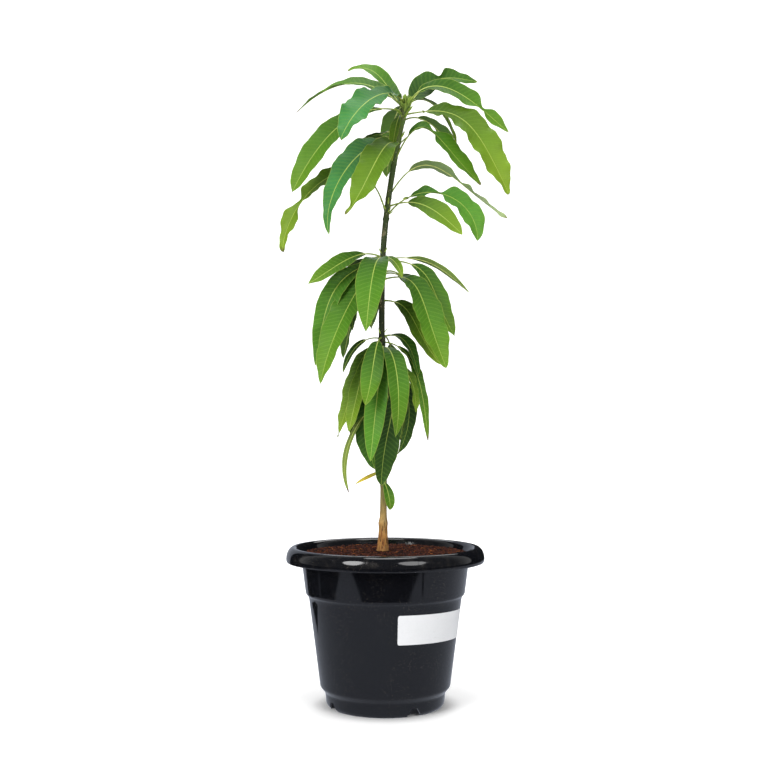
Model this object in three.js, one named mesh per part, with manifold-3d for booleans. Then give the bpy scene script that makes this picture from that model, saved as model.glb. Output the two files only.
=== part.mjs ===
// Mango sapling in its nursery pot. Millimetres, +Z up, the plant's front faces -Y.
// Bearings are degrees in plan: 0 points along +X, 90 along +Y, 270 to the front.
import * as THREE from 'three';
import { mergeVertices } from 'three/addons/utils/BufferGeometryUtils.js';
import Module from 'manifold-3d';

const wasm = await Module();
wasm.setup();

// ---------------------------------------------------------------- sizes
const GAP = 0.3; // clearance between neighbouring solids
const TURN = 40; // facets round the pot

// The pot's section as [radius, height]: underside, wall from foot to rim, wall back down, floor.
const POT_UNDER = [[0, 0], [30, 0], [36, 13], [86.2, 13], [86.2, 4.5]];
const POT_OUTSIDE = [
  [83.4, 0], [85.6, 0], [89, 4.5], [90.8, 20.5], [98.2, 29.4], [115.5, 159.5], [117, 164],
  [120.4, 167.2], [126.5, 214], [130.4, 224], [135, 232.6], [142, 233.4], [146.6, 226.4],
  [147.6, 215.4], [149.3, 214.4], [150.3, 218.5], [149.9, 224], [148.4, 229.4], [145.6, 234],
  [141.6, 237],
];
const POT_INSIDE = [
  [136.6, 236.8], [132.4, 233.6], [127.9, 224], [124, 213], [118, 169.4],
  [112.9, 159.5], [95.7, 30.2], [88.5, 21.6], [87.8, 15.5],
];
const POT_FLOOR = [[35.5, 15.5], [29, 2.5], [0, 2.5]];

// Four notches through the foot and four drain holes through the raised floor between them.
const NOTCH = { bearing: 28.5, wide: 24, top: 8, tall: 12, deep: 20, at: 87.5 };
const DRAIN = { bearing: 73, radius: 5, long: 8, at: 68, height: 15, facets: 16 };

// The mix is filled to SOIL_TOP at the trunk and sinks a little towards the wall.
const SOIL_TOP = 229;
const SOIL = { crownRadius: 30, shoulder: [100, 227.8], edge: [128.3, 226.6] };

const TRUNK = {
  from: SOIL_TOP + GAP, top: 932, sides: 12, tipRadius: 1.5,
  radius: 5.1, taper: 0.9, flare: 4, flareHeight: 20,
  stock: 0.9, graftFrom: 262, graftTo: 292, bud: 1.9, budAt: 914, budSpread: 9,
  foot: -4, lean: 40, leanFrom: 640, sway: 1.5, swayLength: 480,
};
// Heights of the trunk's rings: close at the flare and the bud, even between them.
const TRUNK_FOOT = [TRUNK.from, 235, 243, 256, 274, 294];
const TRUNK_RISE = 33;
const TRUNK_HEAD = [900, 908, 915, 922, 927, TRUNK.top];

// A twisted blade has more steps, at most stepTurn degrees each, so that its faces never cross.
const LEAF = {
  steps: 7, stepTurn: 11, fold: 18, thinnest: 1.7, thickness: 1 / 90, narrowest: 2, tip: 0.6,
  taper: 1.38, stalkRadius: 2, stalkSteps: 4, stalkInto: 7, samples: 120,
};
const STEM = { radius: 2.7, sides: 5, step: 16, below: 5, above: 2, clear: GAP + 0.15 };

// Each leaf: height on the trunk, bearing and rise of its stalk, how far it keeps that direction,
// its tip, the tip's plunge and how far back that holds, stalk length, blade width, roll, twist and
// the place along the blade where it is widest.
// Leaves "around" the back state height, bearing, reach, drop of the tip and blade width, and a
// seeded rule gives the rest.
const MASSES = {
  upper_left: { stem: 200, leaves: [
    [741, 172, 80, 140, [-160, 15, 690], -85, 105, 60, 36, -45, -20, 0.56],
    [846, 215, 36, 58, [-83, -60, 700], -108, 70, 28, 46, -40, 0, 0.25],
    [852, 256, 5, 90, [-60, -80, 730], -35, 50, 20, 48, -15, 0, 0.4],
    [893, 250, 55, 26, [10, -26, 822], -85, 40, 10, 20, 8, 0, 0.38],
  ] },
  upper_right: { stem: 345, leaves: [
    [825, -25, 65, 115, [145, -30, 785], -45, 100, 42, 38, 45, 10, 0.5],
    [773, 10, 60, 125, [190, 15, 742], -30, 100, 50, 24, -70, 125, 0.5],
    [741, -15, 55, 80, [140, -25, 700], -90, 75, 38, 42, 45, 20, 0.66],
    [757, -30, 15, 55, [115, -50, 705], -45, 60, 36, 38, 50, 0, 0.46],
  ] },
  top_left: { stem: 205, leaves: [
    [908, 178, 48, 85, [-142, 15, 905], -45, 80, 28, 30, -60, 50, 0.36],
    [914, 222, 55, 45, [-65, -100, 835], -65, 75, 14, 50, -30, 0, 0.52],
    [905, 185, 15, 90, [-142, -20, 775], -65, 75, 35, 46, -60, 0, 0.6],
  ] },
  top_right: { stem: 350, leaves: [
    [910, 30, 50, 60, [145, 35, 963], -8, 75, 18, 42, 50, 5, 0.36],
    [912, -8, 60, 90, [190, -15, 868], -40, 55, 30, 36, 62, 0, 0.5],
    [900, -15, 8, 92, [186, -40, 768], -66, 130, 30, 55, 50, 0, 0.54],
    [908, 10, 60, 50, [112, 35, 862], -75, 55, 25, 26, 50, 0, 0.6],
  ] },
  middle_left: { stem: 200, leaves: [
    [678, 205, 25, 45, [-115, -55, 630], -30, 50, 30, 31, -45, 0, 0.48],
    [660, 228, 95, 42, [-95, -75, 480], -78, 100, 30, 49, -30, 0, 0.46],
    [674, 205, -15, 95, [-105, -35, 510], -80, 95, 25, 34, -55, 0, 0.46],
    [680, 190, -5, 70, [-50, -5, 565], -90, 65, 25, 36, -40, 0, 0.5],
  ] },
  middle_front: { stem: 270, leaves: [
    [678, 261, -5, 70, [-28, -95, 555], -72, 95, 25, 47, 0, 0, 0.4],
    [678, 300, 10, 20, [25, -45, 640], -80, 20, 10, 16, 20, 0, 0.43],
  ] },
  middle_right: { stem: 345, leaves: [
    [678, 5, 0, 45, [130, 10, 625], -45, 90, 35, 15, -32, 0, 0.45],
    [674, -10, 0, 85, [105, -20, 555], -60, 85, 42, 38, 45, 0, 0.52],
    [644, -35, 10, 80, [90, -60, 505], -65, 115, 30, 50, 30, 0, 0.52],
    [612, -20, 0, 55, [84, -20, 512], -50, 75, 20, 34, 48, 0, 0.45],
  ] },
  lower_left: { stem: 195, leaves: [
    [553, 185, 15, 30, [-65, -5, 500], -75, 35, 25, 14, -45, 0, 0.4],
    [551, 200, -18, 38, [-72, -15, 403], -72, 95, 22, 29, -45, 20, 0.42],
    [546, 218, 25, 30, [-55, -30, 410], -75, 55, 25, 27, -30, 0, 0.55],
    [520, 200, 40, 42, [-16, -2, 354], -108, 65, 25, 42, -45, 0, 0.6],
    [466, 190, -40, 10, [-55, -5, 317], -110, 85, 32, 10, -55, 0, 0.5],
  ] },
  lower_front: { stem: 255, leaves: [
    [554, 258, 0, 55, [-30, -70, 450], -45, 55, 25, 34, -10, 0, 0.48],
    [530, 280, 50, 60, [-22, -60, 367], -72, 95, 25, 35, 0, 0, 0.5],
  ] },
  lower_right: { stem: 325, leaves: [
    [537, 285, 10, 75, [15, -60, 403], -120, 70, 25, 34, 0, 0, 0.42],
    [556, 5, 20, 35, [50, -10, 495], -80, 45, 14, 26, 30, 0, 0.4],
    [548, -5, 0, 55, [65, -10, 395], -85, 70, 25, 17, 30, 60, 0.4],
    [530, -20, -30, 50, [46, -20, 440], -90, 50, 24, 20, 20, 0, 0.5],
    [500, 320, 0, 60, [-6, -29, 330], -92, 90, 25, 44, 8, 0, 0.6],
    [515, 5, -20, 44, [18, 9, 375], -122, 70, 20, 28, 58, 0, 0.5],
  ] },
  top_back: { stem: 100, leaves: [
    [909, 125, 38, 65, [-60, 45, 985], -10, 60, 22, 31, -12, 0, 0.42],
    [858, 158, 50, 30, [-40, 34, 800], -90, 40, 12, 32, -40, 0, 0.45],
  ], around: [
    [914, 105, 110, 55, 38], [866, 128, 120, 50, 40], [858, 145, 110, 45, 36],
    [890, 28, 95, 50, 36], [862, 104, 76, 42, 26],
  ] },
  middle_back: { stem: 90, leaves: [], around: [
    [652, 38, 95, 80, 36], [676, 102, 88, 100, 34], [670, 128, 95, 100, 42],
    [655, 20, 85, 120, 34], [640, 150, 70, 115, 34],
  ] },
  lower_back: { stem: 90, leaves: [], around: [
    [556, 60, 60, 120, 32], [552, 90, 65, 130, 34], [546, 135, 60, 125, 32],
    [520, 70, 42, 140, 32], [505, 115, 38, 130, 30], [530, 160, 50, 130, 28], [515, 40, 40, 120, 28],
  ] },
  base: { stem: 240, leaves: [
    [352, 200, -20, 12, [-46, -22, 331], -38, 12, 6, 6, -60, 0, 0.4],
    [332, 268, 30, 20, [7, -20, 293], -100, 20, 8, 18, 0, 0, 0.6],
  ] },
};

const SEED = 11;
const AROUND = {
  rise: [20, 45], plunge: [-86, -70], stalk: [24, 34], roll: [-20, 20], twist: [-15, 15],
  bow: 0.55, belly: 0.48,
};

// ---------------------------------------------------------------- helpers
const rad = THREE.MathUtils.degToRad;
const vec = (x, y, z) => new THREE.Vector3(x, y, z);
const heading = (bearing, rise) => vec(1, 0, 0)
  .applyAxisAngle(vec(0, -1, 0), rad(rise)).applyAxisAngle(vec(0, 0, 1), rad(bearing));

function seeded(seed) {
  let state = seed;
  return ([low, high]) => {
    state = (state * 1664525 + 1013904223) % 4294967296;
    return low + (high - low) * state / 4294967296;
  };
}

// A closed geometry as a solid that can be joined and cut.
function solid(geometry) {
  geometry.deleteAttribute('normal');
  geometry.deleteAttribute('uv');
  const { attributes, index } = mergeVertices(geometry);
  const vertProperties = attributes.position.array;
  const triVerts = Uint32Array.from(index.array);
  return new wasm.Manifold(new wasm.Mesh({ numProp: 3, vertProperties, triVerts }));
}

// A solid turned about the Z axis from a section of [radius, height].
const turned = (section) => solid(
  new THREE.LatheGeometry(section.map(([r, z]) => new THREE.Vector2(r, z)), TURN).rotateX(Math.PI / 2));

// A simple geometry with every corner moved to the place that a rule gives it.
function shaped(geometry, place) {
  const corners = geometry.attributes.position;
  for (let i = 0; i < corners.count; i += 1) {
    const corner = place(vec(corners.getX(i), corners.getY(i), corners.getZ(i)));
    corners.setXYZ(i, corner.x, corner.y, corner.z);
  }
  return solid(geometry);
}

// A rod of level rings at the given heights, with one corner of each ring facing a bearing.
function rod(heights, sides, facing, centreAt, radiusAt) {
  const steps = heights.length - 1;
  const straight = new THREE.CylinderGeometry(1, 1, 1, sides, steps)
    .rotateX(Math.PI / 2).rotateZ(rad(facing + 90)).translate(0, 0, 0.5);
  return shaped(straight, ({ x, y, z }) => {
    const height = heights[Math.round(z * steps)];
    return centreAt(height).add(vec(x, y, 0).multiplyScalar(radiusAt(height)));
  });
}

// ---------------------------------------------------------------- pot and potting mix
function makePot() {
  let pot = turned([...POT_UNDER, ...POT_OUTSIDE, ...POT_INSIDE, ...POT_FLOOR]);
  const flare = (NOTCH.wide - NOTCH.top) / 2;
  const notchCorners = [
    [-NOTCH.wide / 2 - flare, -NOTCH.tall], [NOTCH.wide / 2 + flare, -NOTCH.tall],
    [NOTCH.top / 2, NOTCH.tall], [-NOTCH.top / 2, NOTCH.tall],
  ];
  const notchShape = new THREE.Shape(notchCorners.map(([across, up]) => new THREE.Vector2(across, up)));
  for (let quarter = 0; quarter < 360; quarter += 90) {
    const notch = new THREE.ExtrudeGeometry(notchShape, { depth: NOTCH.deep, bevelEnabled: false })
      .rotateX(Math.PI / 2).rotateZ(Math.PI / 2).translate(NOTCH.at - NOTCH.deep / 2, 0, 0)
      .rotateZ(rad(NOTCH.bearing + quarter));
    const drain = new THREE.CylinderGeometry(DRAIN.radius, DRAIN.radius, DRAIN.long, DRAIN.facets)
      .rotateX(Math.PI / 2).translate(DRAIN.at, 0, DRAIN.height).rotateZ(rad(DRAIN.bearing + quarter));
    pot = pot.subtract(solid(notch)).subtract(solid(drain));
  }
  return pot;
}

// The mix follows the pot's inside, drawn in by its clearance, up to the soil line.
function makeMix() {
  const inside = [...POT_INSIDE.filter(([, z]) => z < SOIL.edge[1] - GAP), ...POT_FLOOR];
  const skin = inside.map(([r, z]) => [Math.max(0, r - 1.5 * GAP), z + GAP]).reverse();
  return turned([...skin, SOIL.edge, SOIL.shoulder, [SOIL.crownRadius, SOIL_TOP], [0, SOIL_TOP]]);
}

// ---------------------------------------------------------------- trunk
// The trunk's axis sways a little all the way and leans to the right near the top.
function trunkPoint(z) {
  const lean = Math.max(0, (z - TRUNK.leanFrom) / (TRUNK.top - TRUNK.leanFrom)) ** 2;
  const wave = (z - SOIL_TOP) * 2 * Math.PI / TRUNK.swayLength;
  return vec(TRUNK.foot + TRUNK.lean * lean + TRUNK.sway * Math.sin(wave), TRUNK.sway * Math.cos(wave), z);
}

// The stock below the graft is a little stouter, the foot flares and the top swells with buds.
function trunkRadius(z) {
  if (z === TRUNK.top) return TRUNK.tipRadius;
  const up = (z - SOIL_TOP) / (TRUNK.top - SOIL_TOP);
  const graft = THREE.MathUtils.smoothstep(z, TRUNK.graftFrom, TRUNK.graftTo);
  return TRUNK.radius - TRUNK.taper * up + TRUNK.stock * (1 - graft)
    + TRUNK.flare * Math.exp((SOIL_TOP - z) / TRUNK.flareHeight)
    + TRUNK.bud * Math.exp(-(((z - TRUNK.budAt) / TRUNK.budSpread) ** 2));
}

function makeTrunk() {
  const heights = [...TRUNK_FOOT];
  while (heights.at(-1) + TRUNK_RISE < TRUNK_HEAD[0]) heights.push(heights.at(-1) + TRUNK_RISE);
  heights.push(...TRUNK_HEAD);
  return rod(heights, TRUNK.sides, 0, trunkPoint, trunkRadius);
}

// ---------------------------------------------------------------- leaves
// Half the blade's width, as a share of the widest, from its base at 0 to its tip at 1.
const outline = (u, belly) => (
  (u / belly) ** (LEAF.taper * belly) * ((1 - u) / (1 - belly)) ** (LEAF.taper * (1 - belly)));

const named = ([at, bearing, rise, spring, tip, plunge, hang, stalk, width, roll, twist, belly]) => (
  { at, bearing, rise, spring, tip: vec(...tip), plunge, hang, stalk, width, roll, twist, belly });

const pick = seeded(SEED);

function leafAround([at, bearing, reach, drop, width]) {
  const tip = trunkPoint(at).addScaledVector(heading(bearing, 0), reach).add(vec(0, 0, -drop));
  const rise = pick(AROUND.rise);
  const plunge = pick(AROUND.plunge);
  const stalk = pick(AROUND.stalk);
  const spring = reach * AROUND.bow;
  const hang = drop * AROUND.bow;
  const roll = pick(AROUND.roll);
  const twist = pick(AROUND.twist);
  return { at, bearing, rise, spring, tip, plunge, hang, stalk, width, roll, twist, belly: AROUND.belly };
}

// The midrib as even samples with the blade's cross direction carried along it without turning.
function midrib({ at, bearing, rise, spring, tip, plunge, hang }) {
  const start = trunkPoint(at);
  const away = THREE.MathUtils.radToDeg(Math.atan2(tip.y - start.y, tip.x - start.x));
  const leaving = start.clone().addScaledVector(heading(bearing, rise), spring);
  const arriving = tip.clone().addScaledVector(heading(away, plunge), -hang);
  const curve = new THREE.CubicBezierCurve3(start, leaving, arriving, tip);
  const across = heading(bearing + 90, 0);
  const samples = [];
  for (let i = 0; i <= LEAF.samples; i += 1) {
    const along = curve.getTangentAt(i / LEAF.samples);
    across.addScaledVector(along, -across.dot(along)).normalize();
    samples.push({ point: curve.getPointAt(i / LEAF.samples), along, across: across.clone() });
  }
  const length = curve.getLength();
  const sampleAt = (distance) => samples[Math.round(LEAF.samples * Math.min(1, distance / length))];
  return { sampleAt, length };
}

// A blade folded along its midrib: a thin box, two cells wide, bent along the curve.
function makeBlade({ stalk, width, roll, twist, belly }, { sampleAt, length }) {
  const blade = length - stalk;
  const thick = Math.max(LEAF.thinnest, blade * LEAF.thickness);
  const steps = Math.max(LEAF.steps, Math.ceil(Math.abs(twist) / LEAF.stepTurn));
  const strip = new THREE.BoxGeometry(2, 1, 1, 2, 1, steps).translate(0, 0, 0.5);
  return shaped(strip, ({ x, y, z }) => {
    const half = Math.max(width / 2 * outline(z, belly), z === 1 ? LEAF.tip : LEAF.narrowest);
    const { point, along, across } = sampleAt(stalk + blade * z);
    const side = across.clone().applyAxisAngle(along, rad(roll + twist * z));
    const up = along.clone().cross(side);
    const lift = Math.abs(x) * half * Math.sin(rad(LEAF.fold)) + y * thick;
    return point.clone().addScaledVector(side, x * half * Math.cos(rad(LEAF.fold))).addScaledVector(up, lift);
  });
}

// A three-sided stalk, which starts on the stem beside the trunk and closes in on the midrib's line.
function makeStalk({ stalk }, { sampleAt }, stemPoint) {
  const aside = stemPoint.clone().sub(sampleAt(0).point);
  const steps = LEAF.stalkSteps;
  const points = Array.from({ length: steps + 1 }, (_, i) => {
    const { point } = sampleAt((stalk + LEAF.stalkInto) * i / steps);
    return point.clone().addScaledVector(aside, (1 - i / steps) ** 1.2);
  });
  const extrudePath = new THREE.CatmullRomCurve3(points);
  const corners = [0, 120, 240].map((turn) => heading(turn, 0).multiplyScalar(LEAF.stalkRadius));
  const section = new THREE.Shape(corners);
  return solid(new THREE.ExtrudeGeometry(section, { steps, bevelEnabled: false, extrudePath }));
}

// One mass: a short stem that lies along the trunk, with its leaves' stalks sunk into it.
function makeMass({ stem, leaves, around = [] }) {
  const all = [...leaves.map(named), ...around.map(leafAround)];
  const beside = (z) => heading(stem, 0).multiplyScalar(trunkRadius(z) + STEM.radius + STEM.clear);
  const stemAt = (z) => trunkPoint(z).add(beside(z));
  const low = Math.min(...all.map(({ at }) => at)) - STEM.below;
  const high = Math.max(...all.map(({ at }) => at)) + STEM.above;
  const steps = Math.ceil((high - low) / STEM.step);
  const heights = Array.from({ length: steps + 1 }, (_, i) => low + (high - low) * i / steps);
  let mass = rod(heights, STEM.sides, stem + 180, stemAt, () => STEM.radius);
  for (const leaf of all) {
    const rib = midrib(leaf);
    mass = mass.add(makeBlade(leaf, rib)).add(makeStalk(leaf, rib, stemAt(leaf.at)));
  }
  return mass;
}

// ---------------------------------------------------------------- the assembled plant
const LOOK = {
  pot: { color: 0x15181a, roughness: 0.28, metalness: 0 },
  mix: { color: 0x4a2b1c, roughness: 0.95, metalness: 0 },
  bark: { color: 0x4e5a2c, roughness: 0.8, metalness: 0 },
  leaf: { color: 0x4f8a2c, roughness: 0.5, metalness: 0 },
};

function node(name, manifold, look) {
  const { vertProperties, triVerts } = manifold.getMesh();
  const geometry = new THREE.BufferGeometry();
  geometry.setAttribute('position', new THREE.BufferAttribute(vertProperties, 3));
  geometry.setIndex(new THREE.BufferAttribute(triVerts, 1));
  geometry.computeVertexNormals();
  const mesh = new THREE.Mesh(geometry, new THREE.MeshStandardMaterial(look));
  mesh.name = name;
  return mesh;
}

const plant = new THREE.Group();
plant.name = 'mango_sapling';
plant.add(node('pot', makePot(), LOOK.pot));
plant.add(node('potting_mix', makeMix(), LOOK.mix));
plant.add(node('trunk', makeTrunk(), LOOK.bark));
for (const [name, mass] of Object.entries(MASSES)) {
  plant.add(node(`leaves_${name}`, makeMass(mass), LOOK.leaf));
}

export default plant;
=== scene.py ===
# %% [markdown]
# # A grafted mango sapling in its nursery pot
# The plant is one bare stem, about 75 cm tall, with three flushes of long leathery leaves and a
# tuft of buds at its tip. It stands in a glossy black pot with a rolled rim, filled with moist
# coir mix. The solids of the part give the true sizes. Here each solid gets its fine surface:
# blades with veins and rippled margins, stalks, bark, crumbs of mix and a moulded pot.
#
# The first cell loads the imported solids. Everything made later sits in their frame, in metres.

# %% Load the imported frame
import math

import bpy
import numpy as np
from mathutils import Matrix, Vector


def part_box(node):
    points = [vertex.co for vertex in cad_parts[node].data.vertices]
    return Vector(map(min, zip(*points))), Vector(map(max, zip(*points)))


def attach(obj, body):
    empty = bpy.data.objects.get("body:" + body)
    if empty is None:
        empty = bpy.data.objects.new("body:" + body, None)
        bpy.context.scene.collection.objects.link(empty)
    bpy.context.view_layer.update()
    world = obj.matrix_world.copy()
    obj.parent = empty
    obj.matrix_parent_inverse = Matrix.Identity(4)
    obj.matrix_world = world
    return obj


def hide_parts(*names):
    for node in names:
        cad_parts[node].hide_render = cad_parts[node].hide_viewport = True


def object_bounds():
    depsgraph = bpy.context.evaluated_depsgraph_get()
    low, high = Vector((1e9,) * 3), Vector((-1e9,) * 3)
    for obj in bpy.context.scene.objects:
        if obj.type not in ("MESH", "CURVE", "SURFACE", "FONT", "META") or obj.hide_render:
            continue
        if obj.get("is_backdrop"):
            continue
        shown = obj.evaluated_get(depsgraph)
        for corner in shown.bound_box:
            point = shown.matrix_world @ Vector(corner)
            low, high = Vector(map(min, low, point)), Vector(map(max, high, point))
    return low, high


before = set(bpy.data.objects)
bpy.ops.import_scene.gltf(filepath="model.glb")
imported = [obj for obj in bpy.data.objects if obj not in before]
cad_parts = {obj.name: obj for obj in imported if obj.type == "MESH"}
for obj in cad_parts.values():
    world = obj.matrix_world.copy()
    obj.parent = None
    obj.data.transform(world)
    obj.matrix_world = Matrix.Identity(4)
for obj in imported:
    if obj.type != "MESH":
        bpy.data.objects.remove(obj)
cad_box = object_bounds()
MM = 0.001
print("solids:", len(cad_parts), "height:", round(cad_box[1].z, 4), "m")

# %% [markdown]
# ## The camera
# The plant is seen from the front, from a little above the pot's rim, with a longish lens, so the
# rim shows as a flat ellipse. A camera is placed first because sizes of detail follow from it:
# one pixel covers about a millimetre and a half here, and finer detail than that only pays in
# close views.

# %% Place the camera
CAMERA_DISTANCE = 1.682
CAMERA_HEIGHT = 0.410
CAMERA_ASIDE = -0.002
CAMERA_TILT = math.radians(92.51)
CAMERA_LENS = 51.56


def placed(name, data):
    """Puts a new object into the scene, at the origin."""
    piece = bpy.data.objects.new(name, data)
    bpy.context.collection.objects.link(piece)
    return piece


lens = bpy.data.cameras.new("camera")
lens.lens = CAMERA_LENS
camera = placed("camera", lens)
camera.location = (CAMERA_ASIDE, -CAMERA_DISTANCE, CAMERA_HEIGHT)
camera.rotation_euler = (CAMERA_TILT, 0, 0)
bpy.context.scene.camera = camera
bpy.context.scene.view_settings.view_transform = "Standard"
print("camera looks along +Y from", tuple(camera.location))

# %% [markdown]
# ## Writing node trees as arithmetic
# Geometry and shader trees are graphs, but most of their nodes only add or multiply. A small
# class lets a formula such as `half * share` stand for its nodes, so that each tree reads like
# the rule it follows. `add` makes any other node with its settings and inputs in one line.

# %% Helpers for node trees
def feed(tree, place, value):
    """Links a wire to an input, or sets the input to a plain value."""
    if isinstance(value, Wire):
        tree.links.new(value.socket, place)
    else:
        place.default_value = value


class Wire:
    """One output of a node. Arithmetic on it makes maths nodes."""

    def __init__(self, tree, socket):
        self.tree, self.socket = tree, socket

    def maths(self, operation, *others, kind="ShaderNodeMath"):
        """A maths node that works on this wire and on the others."""
        node = self.tree.nodes.new(kind)
        node.operation = operation
        for place, value in zip(node.inputs, (self, *others)):
            feed(self.tree, place, value)
        return Wire(self.tree, node.outputs[0])

    def __add__(self, other):
        return self.maths("ADD", other)

    def __sub__(self, other):
        return self.maths("SUBTRACT", other)

    def __mul__(self, other):
        return self.maths("MULTIPLY", other)

    def __truediv__(self, other):
        return self.maths("DIVIDE", other)

    def __pow__(self, other):
        return self.maths("POWER", other)

    def plus(self, other):
        """The sum of two vectors."""
        return self.maths("ADD", other, kind="ShaderNodeVectorMath")

    def times(self, factor):
        """A vector made longer or shorter."""
        node = self.tree.nodes.new("ShaderNodeVectorMath")
        node.operation = "SCALE"
        feed(self.tree, node.inputs[0], self)
        feed(self.tree, node.inputs["Scale"], factor)
        return Wire(self.tree, node.outputs[0])

    def also(self, name):
        """Another output of the same node."""
        return Wire(self.tree, self.socket.node.outputs[name])


def add(tree, kind, inputs=(), out=0, **settings):
    """Adds a node with its settings and inputs, and gives back one of its outputs."""
    node = tree.nodes.new(kind)
    for name, value in settings.items():
        setattr(node, name, value)
    for place, value in dict(inputs).items():
        feed(tree, node.inputs[place], value)
    return Wire(tree, node.outputs[out])


def new_tree(name, kind, inputs, outputs):
    """An empty node group with named inputs and outputs, given as {name: (socket type, value)}."""
    tree = bpy.data.node_groups.new(name, kind)
    for label, (socket, value) in inputs.items():
        made = tree.interface.new_socket(name=label, in_out="INPUT", socket_type="NodeSocket" + socket)
        if value is not None:
            made.default_value = value
    for label, socket in outputs.items():
        tree.interface.new_socket(name=label, in_out="OUTPUT", socket_type="NodeSocket" + socket)
    entry = tree.nodes.new("NodeGroupInput")
    leave = tree.nodes.new("NodeGroupOutput")
    return tree, lambda label: Wire(tree, entry.outputs[label]), leave


def fade(wire, low, high, to_low=0.0, to_high=1.0):
    """A smooth change from to_low to to_high while the wire goes from low to high."""
    inputs = {"Value": wire, 1: low, 2: high, 3: to_low, 4: to_high}
    return add(wire.tree, "ShaderNodeMapRange", inputs, interpolation_type="SMOOTHSTEP")


def parts_of(vector):
    """The x part of a vector. Its .also("Y") and .also("Z") are the other two."""
    return add(vector.tree, "ShaderNodeSeparateXYZ", {0: vector})


print("helpers ready")

# %% [markdown]
# ## Growing a piece with Geometry Nodes
# A leaf, a stalk or a crumb of soil repeats by rule, so each is grown by a node tree from a simple
# base mesh that Python writes. A modifier would recompute the result for ever, so the evaluated
# result is copied to a plain mesh once and the modifier is removed.

# %% Helpers for meshes
def base_mesh(name, points, edges=(), faces=(), **attributes):
    """A mesh with named point attributes. An array of threes becomes a vector attribute."""
    mesh = bpy.data.meshes.new(name)
    mesh.from_pydata(points, edges, faces)
    for label, values in attributes.items():
        values = np.asarray(values, np.float32)
        kind = {1: "FLOAT", 2: "FLOAT_VECTOR"}[values.ndim]
        layer = mesh.attributes.new(label, kind, "POINT")
        layer.data.foreach_set("value" if kind == "FLOAT" else "vector", values.ravel())
    return mesh


def plain(piece):
    """Applies a piece's modifiers by copying the evaluated result to a plain mesh."""
    graph = bpy.context.evaluated_depsgraph_get()
    result = bpy.data.meshes.new_from_object(piece.evaluated_get(graph), depsgraph=graph)
    piece.modifiers.clear()
    piece.data = result
    result.name = piece.name
    return piece


def grown(name, mesh, tree, **values):
    """Runs a node tree on a mesh and gives back the result as a plain object."""
    piece = placed(name, mesh)
    modifier = piece.modifiers.new("grow", "NODES")
    modifier.node_group = tree
    for item in tree.interface.items_tree:
        label = item.name.lower().replace(" ", "_")
        if item.item_type == "SOCKET" and item.in_out == "INPUT" and label in values:
            modifier[item.identifier] = values[label]
    return plain(piece)


def settle(piece, slot, *nodes):
    """Puts a finished piece on the one body, hides the solids it stands for and prints its size and slot.
    """
    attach(piece, "root")
    if nodes:
        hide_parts(*nodes)
    triangles = sum(len(face.vertices) - 2 for face in piece.data.polygons)
    print(f"{piece.name}: {triangles} triangles, slot {slot}")


print("base meshes are in metres, MM =", MM)

# %% [markdown]
# ## The stem's line
# A young mango stem is nearly straight. It sways by a millimetre or two, leans to one side near
# the top, flares at the foot, is a little stouter below the graft and swells where the buds sit.
# Each of these is one term of a formula, the same one that the solid follows, in millimetres.

# %% The rule of the stem
SOIL_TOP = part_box("potting_mix")[1].z / MM
STEM_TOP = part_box("trunk")[1].z / MM
STEM_FOOT_X, STEM_LEAN, LEAN_FROM = -4.0, 40.0, 640.0
STEM_SWAY, SWAY_LENGTH = 1.5, 480.0
STEM_RADIUS, STEM_TAPER = 5.1, 0.9
STOCK_STOUTER, GRAFT_FROM, GRAFT_TO = 0.9, 262.0, 292.0
FLARE, FLARE_FADE = 4.0, 20.0
BUD_SWELL, BUD_AT, BUD_LENGTH = 1.9, 914.0, 9.0


def stem_point(z):
    """The middle of the stem at a height, in mm."""
    lean = np.maximum(0, (z - LEAN_FROM) / (STEM_TOP - LEAN_FROM)) ** 2
    wave = (z - SOIL_TOP) * 2 * math.pi / SWAY_LENGTH
    x = STEM_FOOT_X + STEM_LEAN * lean + STEM_SWAY * np.sin(wave)
    return np.stack([x, STEM_SWAY * np.cos(wave), z + 0 * x], -1)


def stem_radius(z):
    """The radius of the bare stem at a height, in mm."""
    up = (z - SOIL_TOP) / (STEM_TOP - SOIL_TOP)
    graft = np.clip((z - GRAFT_FROM) / (GRAFT_TO - GRAFT_FROM), 0, 1)
    stock = STOCK_STOUTER * (1 - graft * graft * (3 - 2 * graft))
    flare = FLARE * np.exp((SOIL_TOP - z) / FLARE_FADE)
    bud = BUD_SWELL * np.exp(-(((z - BUD_AT) / BUD_LENGTH) ** 2))
    return STEM_RADIUS - STEM_TAPER * up + stock + flare + bud


def heading(bearing, rise=0.0):
    """A direction of length one from its bearing and its rise above the level, in degrees."""
    bearing, rise = math.radians(bearing), math.radians(rise)
    level = math.cos(rise)
    return np.array([math.cos(bearing) * level, math.sin(bearing) * level, math.sin(rise)])


print("stem from", round(SOIL_TOP), "to", round(STEM_TOP), "mm, radius at the foot",
      round(float(stem_radius(SOIL_TOP)), 1))

# %% [markdown]
# ## Where each leaf grows
# Leaves leave the stem in flushes, and every leaf arches out on its stalk and hangs. One row says
# all there is to know of a leaf: its tone, its height on the stem, the bearing and rise of its
# stalk, how far it keeps that direction, its tip, how steeply it arrives there and how far back
# that holds, the stalk's length, the blade's width, its roll and twist, the place where it is
# widest, how much its margin waves, how dry its tip is and, for some, the place where the blade
# closes on its midrib. A short row is a leaf round the back: its tone, height, bearing, reach,
# drop and width. Lengths are in millimetres, angles in degrees.

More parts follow.
